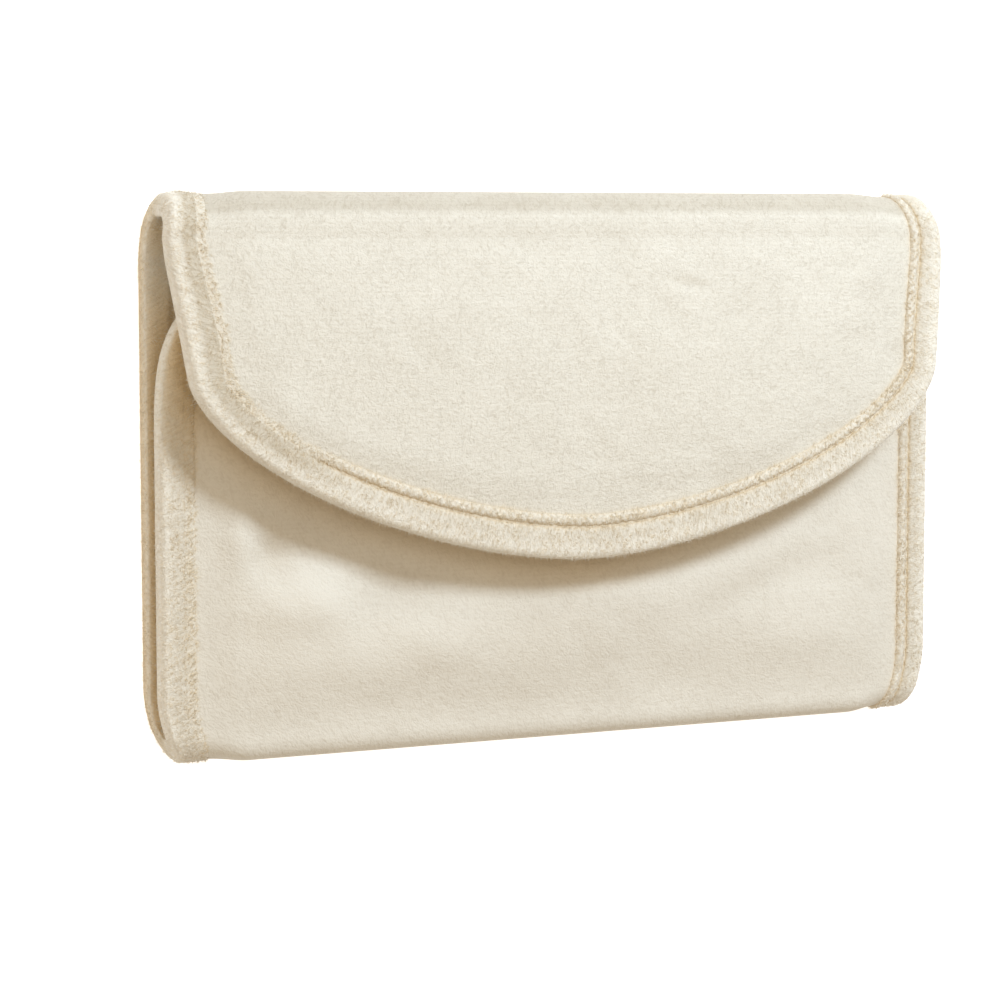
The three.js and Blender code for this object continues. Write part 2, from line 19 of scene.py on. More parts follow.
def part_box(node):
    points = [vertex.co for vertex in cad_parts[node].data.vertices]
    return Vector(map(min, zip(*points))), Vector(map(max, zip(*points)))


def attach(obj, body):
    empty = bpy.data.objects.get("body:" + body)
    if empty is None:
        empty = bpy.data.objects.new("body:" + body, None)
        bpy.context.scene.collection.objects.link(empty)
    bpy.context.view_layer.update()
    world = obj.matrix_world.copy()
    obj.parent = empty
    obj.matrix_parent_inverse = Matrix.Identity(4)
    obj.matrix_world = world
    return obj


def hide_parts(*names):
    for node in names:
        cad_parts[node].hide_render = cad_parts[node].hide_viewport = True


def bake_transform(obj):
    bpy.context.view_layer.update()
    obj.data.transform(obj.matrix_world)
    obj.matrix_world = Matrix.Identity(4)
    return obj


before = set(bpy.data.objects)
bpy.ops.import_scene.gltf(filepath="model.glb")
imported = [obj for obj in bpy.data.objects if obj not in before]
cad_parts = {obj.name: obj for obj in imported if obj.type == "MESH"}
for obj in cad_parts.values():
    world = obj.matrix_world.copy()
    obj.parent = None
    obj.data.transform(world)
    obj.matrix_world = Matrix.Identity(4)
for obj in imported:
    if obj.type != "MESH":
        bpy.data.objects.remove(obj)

log = logging.getLogger("jewelry_roll")

Array = np.ndarray
Colour = tuple[float, float, float]
Source = bpy.types.NodeSocket | float | tuple[float, ...]

ROLL_WIDTH = 0.236
ROLL_HEIGHT = 0.152
BOTTOM_DEPTH = 0.019
TOP_DEPTH = 0.026
PANEL_DEPTH = 0.0052
BINDING_DEPTH = 0.0065
CLOTH_INSET = 0.004
CORNER_START = 0.056
EDGE_EASE = 0.012
TOP_CORNER_DRAW = 0.03
BOTTOM_CORNER_DRAW = 0.045
CLOTH_UV = "cloth"
# The point attribute that darkens a velvet towards its shade colour: the pile's lean together with painted
# shade and painted highlights.
NAP_AND_LIGHT_ATTRIBUTE = "nap"
STRIP_ROUNDING = 0.45
STRIP_EDGE = 1.5
STRIP_WAVE = 0.02
STRIP_SEED = 1.0
BEVEL_STEPS = 3


class Fold(Enum):
    """A fold of the roll, by the end of the Y axis it lies at."""

    BOTTOM = -1
    TOP = 1


class Side(Enum):
    """The face of the roll a panel lies on, by the end of the Z axis it looks to."""

    BACK = -1
    FRONT = 1


class Hand(Enum):
    """A side of the roll, by the end of the X axis it lies at."""

    LEFT = -1
    RIGHT = 1


def smooth(value: Array) -> Array:
    """Ease numbers: 0 below 0, 1 above 1, and an S curve between."""
    t = np.clip(value, 0.0, 1.0)
    return t * t * (3.0 - 2.0 * t)


def ripple(x: Array, y: Array, wavelength: float, seed: float) -> Array:
    """Smooth noise over a cloth.

    Args:
        x: Places across the cloth.
        y: Places along the cloth, of the same shape.
        wavelength: Rough distance between crests in metres.
        seed: Which noise to take.

    Returns:
        Numbers from about -1 to 1, of the same shape.
    """
    flat = zip(np.ravel(x) / wavelength, np.ravel(y) / wavelength)
    values = [noise.noise(Vector((u, v, seed))) for u, v in flat]
    return np.array(values).reshape(np.shape(x))


def wobble(run: Array, wavelength: float, seed: float) -> Array:
    """Smooth noise along a line, from about -1 to 1."""
    return ripple(run, np.zeros_like(run), wavelength, seed)


def unit(rows: Array, least: float = 0.0) -> Array:
    """Rows of numbers as directions of length one. The least length keeps empty rows from dividing by 0."""
    return rows / (np.linalg.norm(rows, axis=1)[:, None] + least)


def eased(directions: Array, reach: int) -> Array:
    """Spread the turns of a row of directions over their neighbours.

    Args:
        directions: Directions, one in each row.
        reach: How many neighbours on each side count.

    Returns:
        The eased directions, of length one.
    """
    padded = np.pad(directions, ((reach, reach), (0, 0)), mode="edge")
    total = np.cumsum(np.vstack([np.zeros((1, directions.shape[1])), padded]), axis=0)
    return unit(total[2 * reach + 1:] - total[:-2 * reach - 1])


def flat_lift(x: Array, y: Array) -> Array:
    """Height that a flat panel adds to its face: none."""
    return np.zeros(np.broadcast(x, y).shape)


def lengths_along(points: Array) -> Array:
    """Length along a row of points, up to each of them."""
    return np.concatenate([[0.0], np.cumsum(np.linalg.norm(np.diff(points, axis=0), axis=1))])


def rows_at(places: Array, length: Array, rows: Array) -> Array:
    """Rows of numbers at some lengths, read between rows at known lengths."""
    return np.stack([np.interp(places, length, column) for column in rows.T], axis=-1)


def box_grid(low: Vector, high: Vector, points: tuple[int, int]) -> list[Array]:
    """X and Y of an even grid over a box's footprint, with the given points along X and Y."""
    return np.meshgrid(np.linspace(low.x, high.x, points[0]), np.linspace(low.y, high.y, points[1]))


def add_object(name: str, data: bpy.types.ID) -> bpy.types.Object:
    """Add an object to the scene.

    Args:
        name: Its name.
        data: Its mesh, light or camera.

    Returns:
        The new object.
    """
    added = bpy.data.objects.new(name, data)
    bpy.context.scene.collection.objects.link(added)
    return added


class MeshKit:
    """Turns arrays of points into closed smooth meshes."""

    SHARP_ANGLE = math.radians(50.0)

    @classmethod
    def make(cls, name: str, points: Array, faces: Sequence[Sequence[int]], uv: Array,
             nap: Array | None = None) -> bpy.types.Object:
        """Make a mesh object from points and faces.

        Args:
            name: Name of the piece.
            points: Corner positions, one row each.
            faces: Corner numbers of each face.
            uv: Cloth coordinates of each corner in metres.
            nap: How far the pile leans away at each corner, with painted shade and highlights added, from 0
                to 1.

        Returns:
            The new object, linked to the scene.
        """
        mesh = bpy.data.meshes.new(name)
        mesh.from_pydata(points.tolist(), [], faces)
        layer = mesh.uv_layers.new(name=CLOTH_UV)
        corner = np.zeros(len(mesh.loops), np.int32)
        mesh.loops.foreach_get("vertex_index", corner)
        layer.data.foreach_set("uv", uv[corner].astype(np.float32).ravel())
        if nap is not None:
            mesh.attributes.new(NAP_AND_LIGHT_ATTRIBUTE, "FLOAT", "POINT").data.foreach_set("value", nap.astype(np.float32))
        work = bmesh.new()
        work.from_mesh(mesh)
        bmesh.ops.recalc_face_normals(work, faces=work.faces)
        work.to_mesh(mesh)
        work.free()
        mesh.shade_smooth()
        mesh.set_sharp_from_angle(angle=cls.SHARP_ANGLE)
        return add_object(name, mesh)

    @classmethod
    def slab(cls, name: str, outer: Array, inner: Array, uv: Array,
             nap: Array | None = None) -> bpy.types.Object:
        """Make a closed slab between two grids of points.

        Args:
            name: Name of the piece.
            outer: Grid of points of one face, rows by columns by three.
            inner: Grid of points of the other face.
            uv: Cloth coordinates of the grid.
            nap: How far the pile leans away at each point, with painted shade and highlights added, from 0 to
                1.

        Returns:
            The new object.
        """
        rows, columns = outer.shape[:2]
        number = np.arange(rows * columns).reshape(rows, columns)
        back = number + rows * columns
        skin = cls.quads(number)
        faces = [skin, skin[:, ::-1] + rows * columns]
        for line, under in ((number[0], back[0]), (number[-1], back[-1]),
                            (number[:, 0], back[:, 0]), (number[:, -1], back[:, -1])):
            faces.append(np.stack([line[:-1], under[:-1], under[1:], line[1:]], axis=-1))
        points = np.concatenate([outer.reshape(-1, 3), inner.reshape(-1, 3)])
        both = np.concatenate([uv.reshape(-1, 2)] * 2)
        # lean carries the pile's lean with the painted shade and highlights.
        lean = None if nap is None else np.concatenate([nap.ravel()] * 2)
        return cls.make(name, points, np.concatenate(faces).tolist(), both, lean)

    @classmethod
    def lying(cls, name: str, x: Array, y: Array, top: Array, bottom: Array) -> bpy.types.Object:
        """Make a lying cloth over a grid of X and Y, between its upper and lower Z."""
        outer, inner = (np.stack([x, y, z], axis=-1) for z in (top, bottom))
        return cls.slab(name, outer, inner, np.stack([x, y], axis=-1))

    @classmethod
    def sweep(cls, name: str, rings: Array, uv: Array, nap: Array | None = None) -> bpy.types.Object:
        """Make a closed solid through a row of rings.

        Args:
            name: Name of the piece.
            rings: Ring points, rings by points by three.
            uv: Cloth coordinates of the ring points.
            nap: How far the pile leans away at each ring point, with painted shade and highlights added, from
                0 to 1.

        Returns:
            The new object.
        """
        count, size = rings.shape[:2]
        # lean carries the pile's lean with the painted shade and highlights.
        lean = None if nap is None else nap.ravel()
        return cls.make(name, rings.reshape(-1, 3), cls.ring_faces(count, size, 0), uv.reshape(-1, 2), lean)

    @staticmethod
    def quads(number: Array) -> Array:
        """Corner numbers of the squares in a grid of numbered points."""
        corners = [number[:-1, :-1], number[:-1, 1:], number[1:, 1:], number[1:, :-1]]
        return np.stack(corners, axis=-1).reshape(-1, 4)

    @staticmethod
    def ring_faces(count: int, size: int, first: int) -> list[list[int]]:
        """Faces of a closed solid through rings.

        Args:
            count: How many rings there are.
            size: How many points a ring has.
            first: Number of the first ring's first point.

        Returns:
            Corner numbers of each face, with a cap on both ends.
        """
        number = np.arange(count * size).reshape(count, size) + first
        turned = np.roll(number, -1, axis=1)
        sides = np.stack([number[:-1], turned[:-1], turned[1:], number[1:]], axis=-1).reshape(-1, 4)
        return [*sides.tolist(), number[0][::-1].tolist(), number[-1].tolist()]


@dataclass(frozen=True)
class RoundedEnd:
    """The rounded free end of a panel, a superellipse beyond straight sides.

    Attributes:
        start: Y where the rounded end begins.
        reach: How far it goes on from there.
        squareness: Exponent of the curve: 2 is an ellipse, more is squarer.
        toward: The fold that it goes towards.
    """

    FINE_STEPS = 1200
    HALVINGS = 40
    FURTHEST_OUTSIDE = 0.02
    SMALLEST_RADIUS = 1e-4

    start: float
    reach: float
    squareness: float
    toward: Fold

    def edge(self, x: Array, half_width: float, inset: float) -> Array:
        """Y of the outline, moved inwards.

        Args:
            x: Places across the panel.
            half_width: Half of the panel's width.
            inset: How far inside the true outline to stay.

        Returns:
            Y at each place.
        """
        share = np.clip(np.abs(x) / (half_width - inset), 0.0, 1.0)
        curve = (1.0 - share**self.squareness) ** (1.0 / self.squareness)
        return self.start + self.toward.value * (self.reach - inset) * curve

    def outline(self, half_width: float, spacing: float) -> Array:
        """Evenly spaced points along the outline, from the left side round to the right side.

        Args:
            half_width: Half of the panel's width.
            spacing: Distance between points.

        Returns:
            Rows of X and Y.
        """
        angle = np.linspace(0.0, math.pi, self.FINE_STEPS)
        power = 2.0 / self.squareness
        x = -half_width * np.sign(np.cos(angle)) * np.abs(np.cos(angle)) ** power
        y = self.start + self.toward.value * self.reach * np.abs(np.sin(angle)) ** power
        length = np.concatenate([[0.0], np.cumsum(np.hypot(np.diff(x), np.diff(y)))])
        even = np.linspace(0.0, length[-1], int(length[-1] / spacing) + 1)
        return rows_at(even, length, np.stack([x, y], axis=-1))

    def inset_at(self, x: Array, y: Array, half_width: float) -> Array:
        """How far inside the outline points lie.

        Args:
            x: Places across the panel.
            y: Places along the panel, of the same shape.
            half_width: Half of the panel's width.

        Returns:
            Distance to the bound edge at each place.
        """
        beyond = np.maximum((y - self.start) * self.toward.value, 0.0)
        low = np.full(np.shape(x), -self.FURTHEST_OUTSIDE)
        high = np.full(np.shape(x), min(self.reach, half_width) - self.SMALLEST_RADIUS)
        for _ in range(self.HALVINGS):
            middle = (low + high) / 2.0
            across = np.abs(x) / (half_width - middle)
            along = beyond / (self.reach - middle)
            outside = across**self.squareness + along**self.squareness > 1.0
            high = np.where(outside, middle, high)
            low = np.where(outside, low, middle)
        return np.minimum((low + high) / 2.0, half_width - np.abs(x))


@dataclass(frozen=True)
class PanelGrid:
    """Points over a panel's outer face.

    Attributes:
        base: Points on the face, rows by columns by three.
        normal: Outward directions there.
        edge: Distance of each point from the bound edge.
        uv: Cloth coordinates: across the roll and along the cloth.
    """

    base: Array
    normal: Array
    edge: Array
    uv: Array


@dataclass(frozen=True)
class EdgeLine:
    """Stations along a panel's bound edge.

    Attributes:
        place: Points on the edge.
        inward: Directions from the edge into the panel.
        normal: Outward directions of the panel's face.
        on_flat: Whether a station is on the panel's flat part.
        run: Length along the edge up to each station.
    """

    place: Array
    inward: Array
    normal: Array
    on_flat: Array
    run: Array


@dataclass(frozen=True)
class PanelShape:
    """A face of the roll from the middle of a fold to the panel's end.

    Attributes:
        fold: The fold it starts at.
        side: The face of the roll it lies on.
        radius: Outer radius of the fold's corner.
        level: Z of the flat outer face.
        split: Z on the fold where the panel on the other side takes over.
        bodies: The fold's and the panel's bodies; not used.
        end: The rounded free end, or None for half of the back panel.
        lift: Height that the panel's own form adds to its face.
        taper: How far each side draws in for each metre along the flat part.
    """

    fold: Fold
    side: Side
    radius: float
    level: float
    split: float
    bodies: tuple[str, str]
    end: RoundedEnd | None = None
    lift: Callable[[Array, Array], Array] = flat_lift
    taper: float = 0.0

    @property
    def half_width(self) -> float:
        """Half of the roll's width."""
        return ROLL_WIDTH / 2.0

    def draw_in(self, points: Array) -> Array:
        """Draw in the roll's four corners at the folds, and the sides of a tapered panel.

        Args:
            points: Points with X first and Y second.

        Returns:
            The points, moved towards the middle.
        """
        y = points[..., 1:2]
        near_fold = np.clip((np.abs(y) - CORNER_START) / (ROLL_HEIGHT / 2.0 - CORNER_START), 0.0, 1.0)
        corner = np.where(y > 0.0, TOP_CORNER_DRAW, BOTTOM_CORNER_DRAW) * near_fold**2
        from_fold = np.maximum((self.centre[0] - y) * self.fold.value, 0.0)
        moved = points.copy()
        moved[..., :1] *= 1.0 - corner - self.taper * from_fold / self.half_width
        return moved

    @property
    def centre(self) -> tuple[float, float]:
        """Y and Z of the corner's centre."""
        return self.fold.value * (ROLL_HEIGHT / 2.0 - self.radius), self.level - self.side.value * self.radius

    def turn(self, spacing: float) -> tuple[Array, Array]:
        """The fold's part of the path.

        Args:
            spacing: Distance between points.

        Returns:
            Points and outward directions in Y and Z, from the split to the flat face.
        """
        centre_y, centre_z = self.centre
        straight = abs(centre_z - self.split)
        stages = np.linspace(0.0, straight, max(int(straight / spacing), 1), endpoint=False)
        angle = np.linspace(0.0, math.pi / 2.0, int(self.radius * math.pi / 2.0 / spacing) + 2)
        across, up = self.fold.value * np.cos(angle), self.side.value * np.sin(angle)
        arc = np.stack([centre_y + self.radius * across, centre_z + self.radius * up], axis=-1)
        spine = np.stack([np.full(len(stages), arc[0, 0]), self.split + self.side.value * stages], axis=-1)
        spine_normal = np.tile([float(self.fold.value), 0.0], (len(stages), 1))
        return np.concatenate([spine, arc]), np.concatenate([spine_normal, np.stack([across, up], axis=-1)])

    def grid(self, columns: int, flat_rows: int, inset: float, spacing: float) -> PanelGrid:
        """Points over the whole outer face.

        Args:
            columns: How many points across.
            flat_rows: How many rows on the flat part.
            inset: How far inside the edge the grid ends.
            spacing: Distance between rows in the fold.

        Returns:
            The grid.
        """
        half = self.half_width - inset
        x = np.linspace(-half, half, columns)
        path, path_normal = self.turn(spacing)
        start_y = path[-1, 0]
        end_y = self.end.edge(x, self.half_width, inset) if self.end else np.zeros(columns)
        share = (np.arange(flat_rows) + 1.0)[:, None] / flat_rows
        y = start_y + (end_y - start_y)[None, :] * share
        across = np.broadcast_to(x, y.shape)
        flat = np.stack([across, y, self.level + self.side.value * self.lift(across, y)], axis=-1)
        flat_normal = np.broadcast_to([0.0, 0.0, float(self.side.value)], flat.shape)
        turned = np.stack([np.broadcast_to(x, (len(path), columns)),
                           np.repeat(path[:, :1], columns, 1), np.repeat(path[:, 1:], columns, 1)], axis=-1)
        turned_normal = np.zeros(turned.shape)
        turned_normal[..., 1:] = path_normal[:, None, :]
        base = np.concatenate([turned, flat])
        side_edge = self.half_width - np.abs(base[..., 0])
        edge = side_edge
        if self.end:
            end_edge = self.end.inset_at(across, y, self.half_width)
            edge = np.concatenate([side_edge[:len(path)], end_edge])
        run = lengths_along(path)
        along = np.concatenate([np.repeat(run[:, None], columns, 1), run[-1] + np.abs(y - start_y)])
        uv = np.stack([base[..., 0], along], axis=-1)
        return PanelGrid(self.draw_in(base), np.concatenate([turned_normal, flat_normal]), edge, uv)

    def edge_line(self, hand: Hand, spacing: float) -> EdgeLine:
        """Stations along the bound edge.

        Args:
            hand: The side to follow. A rounded panel's whole edge starts on the left.
            spacing: Distance between stations.

        Returns:
            The stations, from the split on.
        """
        path, path_normal = self.turn(spacing)
        start_y = path[-1, 0]
        end_y = self.end.start if self.end else 0.0
        steps = max(int(abs(end_y - start_y) / spacing), 1)
        flat_y = np.linspace(start_y, end_y, steps + 1)[1:]

        def column(side: int) -> tuple[Array, Array, Array]:
            """Lay stations along one straight side.

            Args:
                side: -1 for the left side, 1 for the right one.

            Returns:
                Their places, inward directions and outward directions.
            """
            x = np.full(len(path) + len(flat_y), side * self.half_width)
            y = np.concatenate([path[:, 0], flat_y])
            z = np.concatenate([path[:, 1], np.full(len(flat_y), self.level)])
            inward = np.tile([-float(side), 0.0, 0.0], (len(x), 1))
            normal = np.tile([0.0, 0.0, float(self.side.value)], (len(x), 1))
            normal[:len(path), 1:] = path_normal
            return np.stack([x, y, z], axis=-1), inward, normal

        place, inward, normal = column(hand.value)
        on_flat = np.arange(len(place)) >= len(path)
        if self.end:
            curve = self.end.outline(self.half_width, spacing)
            tangent = unit(np.gradient(curve, axis=0))
            turned = -self.end.toward.value * np.stack([-tangent[:, 1], tangent[:, 0]], axis=-1)
            level = np.full((len(curve), 1), self.level)
            curve_normal = np.tile([0.0, 0.0, float(self.side.value)], (len(curve), 1))
            far_place, far_inward, far_normal = column(-hand.value)
            place = np.concatenate([place[:-1], np.hstack([curve, level]), far_place[-2::-1]])
            inward = np.concatenate([inward[:-1], np.hstack([turned, 0.0 * level]), far_inward[-2::-1]])
            normal = np.concatenate([normal[:-1], curve_normal, far_normal[-2::-1]])
            on_flat = np.concatenate([on_flat[:-1], np.ones(len(curve), bool), on_flat[-2::-1]])
        inward = eased(inward, int(EDGE_EASE / spacing))
        return EdgeLine(place, inward, normal, on_flat, lengths_along(place))

    def on_edge(self, line: EdgeLine, inset: Array, depth: Array) -> Array:
        """Points beside the bound edge.

        Args:
            line: The stations.
            inset: Distances into the panel, stations by points.
            depth: Depths below the outer face, of the same shape.

        Returns:
            Points, stations by points by three.
        """
        points = line.place[:, None, :] + inset[..., None] * line.inward[:, None, :]
        lifted = self.level + self.side.value * self.lift(points[..., 0], points[..., 1])
        points[..., 2] = np.where(line.on_flat[:, None], lifted, points[..., 2])
        return self.draw_in(points - depth[..., None] * line.normal[:, None, :])

    def bend(self, piece: bpy.types.Object, depth: float) -> bpy.types.Object:
        """Bake a piece's placement into its mesh.

        Args:
            piece: The piece, in its final form.
            depth: Not used.

        Returns:
            The same piece.
        """
        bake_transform(piece)
        return piece


@dataclass(frozen=True)
class CrownedFront:
    """Form of the front panel, pushed up in its lower half by what lies inside.

    Attributes:
        height: Height of the crown.
        middle: Y of the crown's top.
        spread: How far it falls off along the panel.
        start: Y where the flat part begins.
        ramp: Length over which it starts.
        half_width: Where it ends at the sides.
    """

    height: float = 0.0025
    middle: float = -0.042
    spread: float = 0.026
    start: float = -0.068
    ramp: float = 0.030
    half_width: float = 0.1075

    def __call__(self, x: Array, y: Array) -> Array:
        """Height of the crown.

        Args:
            x: Places across the panel.
            y: Places along the panel.

        Returns:
            Height above the flat face.
        """
        along = np.exp(-(((y - self.middle) / self.spread) ** 2)) * smooth((y - self.start) / self.ramp)
        across = np.maximum(1.0 - (x / self.half_width) ** 4, 0.0)
        return self.height * along * across


@dataclass(frozen=True)
class LeaningFlap:
    """Form of the flap, which stands away from the front panel towards its tip.

    Attributes:
        rise: Height at the tip.
        start: Y where the flat part begins.
        tip: Y of the tip.
    """

    rise: float = 0.009
    start: float = 0.064
    tip: float = -0.024

    def __call__(self, x: Array, y: Array) -> Array:
        """Height of the slope above the fold's face."""
        along = (self.start - y) / (self.start - self.tip)
        return self.rise * along * (2.0 - along) + 0.0 * x


def feed(tree: bpy.types.NodeTree, node: bpy.types.Node, inputs: dict[str | int, Source]) -> bpy.types.Node:
    """Feed a node's inputs.

    Args:
        tree: The nodes that it is one of.
        node: The node.
        inputs: A socket to link or a constant, for each input's name or number.

    Returns:
        The same node.
    """
    for name, source in inputs.items():
        if isinstance(source, bpy.types.NodeSocket):
            tree.links.new(source, node.inputs[name])
        else:
            node.inputs[name].default_value = source
    return node


def add_node(tree: bpy.types.NodeTree, kind: str, inputs: dict[str | int, Source]) -> bpy.types.Node:
    """Add a shader node of the given kind and feed its inputs."""
    return feed(tree, tree.nodes.new(f"ShaderNode{kind}"), inputs)


def math_node(tree: bpy.types.NodeTree, operation: str, first: Source,
              second: Source = 0.0) -> bpy.types.NodeSocket:
    """Add a Math node.

    Args:
        tree: The nodes to add it to.
        operation: Blender's name of the operation.
        first: First number.
        second: Second number.

    Returns:
        The node's value.
    """
    node = add_node(tree, "Math", {0: first, 1: second})
    node.operation = operation
    return node.outputs[0]


def new_material(name: str) -> tuple[bpy.types.Material, bpy.types.NodeTree, bpy.types.Node]:
    """Start a material.

    Args:
        name: Its name.

    Returns:
        The material, its nodes and its Principled shader.
    """
    material = bpy.data.materials.new(name)
    material.use_nodes = True
    return material, material.node_tree, material.node_tree.nodes["Principled BSDF"]


@dataclass(frozen=True)
class Finish:
    """A material whose colour and relief come from a shared node group.

    Attributes:
        name: Name of the material.
        colour: Its main colour.
        shade: Its colour where the pile leans away, where shade is painted (in grooves, dents, hollows and
            between threads) or where it is handled.
    """

    name: str
    colour: Colour
    shade: Colour

    def pattern(self) -> dict[str, Source]:
        """Values of the node group's number inputs."""
        return {}

    def surface(self) -> dict[str, Source]:
        """Values of the shader's inputs."""
        return {}

    def with_painted_shade(self, tree: bpy.types.NodeTree, colour: bpy.types.NodeSocket) -> bpy.types.NodeSocket:
        """The group's colour as the shader takes it: unchanged, with no painted shade."""
        return colour

    def build(self, shared: bpy.types.ShaderNodeTree) -> bpy.types.Material:
        """Make the material.

        Args:
            shared: The shared node group.

        Returns:
            The new material.
        """
        material, tree, shader = new_material(self.name)
        group = tree.nodes.new("ShaderNodeGroup")
        group.node_tree = shared
        feed(tree, group, {"Colour": (*self.colour, 1.0), "Shade": (*self.shade, 1.0), **self.pattern()})
        colour = self.with_painted_shade(tree, group.outputs["Colour"])
        feed(tree, shader, {"Base Color": colour, "Normal": group.outputs["Normal"], **self.surface()})
        return material


@dataclass(frozen=True)
class PileFinish(Finish):
    """A velvet with a short pile.

    Attributes:
        patch: How strongly broad patches of the nap differ.
        speck: How strongly short crooked specks show between the tufts.
        brush: How strongly slanted streaks show where the pile is brushed.
        rows: How strongly the woven rows show.
        relief: Depth of the pile's bumps.
        sheen: Weight of the pale sheen at glancing angles.
        hollow: Tint of the painted shade that darkens and warms the pile in hollows.
    """

    # Painted shade: ambient occlusion within this reach tints the pile's colour in hollows and under the
    # flap.
    PAINTED_SHADE_REACH = 0.014
    OPEN_FACE = 0.95
    DEEP_HOLLOW = 0.35
    SHEEN_TINT = (1.0, 0.98, 0.93, 1.0)

    patch: float
    speck: float
    brush: float
    rows: float
    relief: float
    sheen: float
    hollow: Colour = (0.97, 0.78, 0.50)

    def pattern(self) -> dict[str, Source]:
        """Values of the node group's number inputs."""
        return {"Patch": self.patch, "Speck": self.speck, "Brush": self.brush, "Rows": self.rows,
                "Relief": self.relief}

    def surface(self) -> dict[str, Source]:
        """Values of the shader's inputs."""
        return {"Roughness": 0.92, "Specular IOR Level": 0.12, "Sheen Weight": self.sheen,
                "Sheen Roughness": 0.42, "Sheen Tint": self.SHEEN_TINT}

    def with_painted_shade(self, tree: bpy.types.NodeTree, colour: bpy.types.NodeSocket) -> bpy.types.NodeSocket:
        """Paint warm shade into the pile's colour in hollows, from ambient occlusion.

        Args:
            tree: The material's nodes.
            colour: Colour of the open pile.

        Returns:
            The colour with its painted shade.
        """
        # Painted shade: the occlusion multiplies the hollow tint into the base colour.
        hollow = add_node(tree, "AmbientOcclusion", {"Distance": self.PAINTED_SHADE_REACH})
        depth = add_node(tree, "MapRange", {
            "Value": hollow.outputs["AO"], "From Min": self.OPEN_FACE, "From Max": self.DEEP_HOLLOW})
        painted_shade = tree.nodes.new("ShaderNodeMix")
        painted_shade.data_type = "RGBA"
        painted_shade.blend_type = "MULTIPLY"
        feed(tree, painted_shade, {"Factor": depth.outputs["Result"], "A": colour, "B": (*self.hollow, 1.0)})
        return painted_shade.outputs["Result"]


@dataclass(frozen=True)
class WeaveFinish(Finish):
    """A plain woven cloth or thread.

    Attributes:
        pitch: Distance between threads in metres.
        relief: Depth of the weave.
    """

    pitch: float
    relief: float

    def pattern(self) -> dict[str, Source]:
        """Values of the node group's number inputs."""
        return {"Pitch": self.pitch, "Relief": self.relief}

    def surface(self) -> dict[str, Source]:
        """Values of the shader's inputs."""
        return {"Roughness": 0.75, "Specular IOR Level": 0.25}


@dataclass(frozen=True)
class WornFinish(Finish):
    """A hard material with a lightly handled surface.

    Attributes:
        roughness: Its roughness.
        metallic: 1 for metal, 0 for plastic.
        relief: Depth of its fine scratches.
    """

    roughness: float
    metallic: float
    relief: float = 0.15

    def pattern(self) -> dict[str, Source]:
        """Values of the node group's number inputs."""
        return {"Relief": self.relief}

    def surface(self) -> dict[str, Source]:
        """Values of the shader's inputs."""
        return {"Roughness": self.roughness, "Metallic": self.metallic}


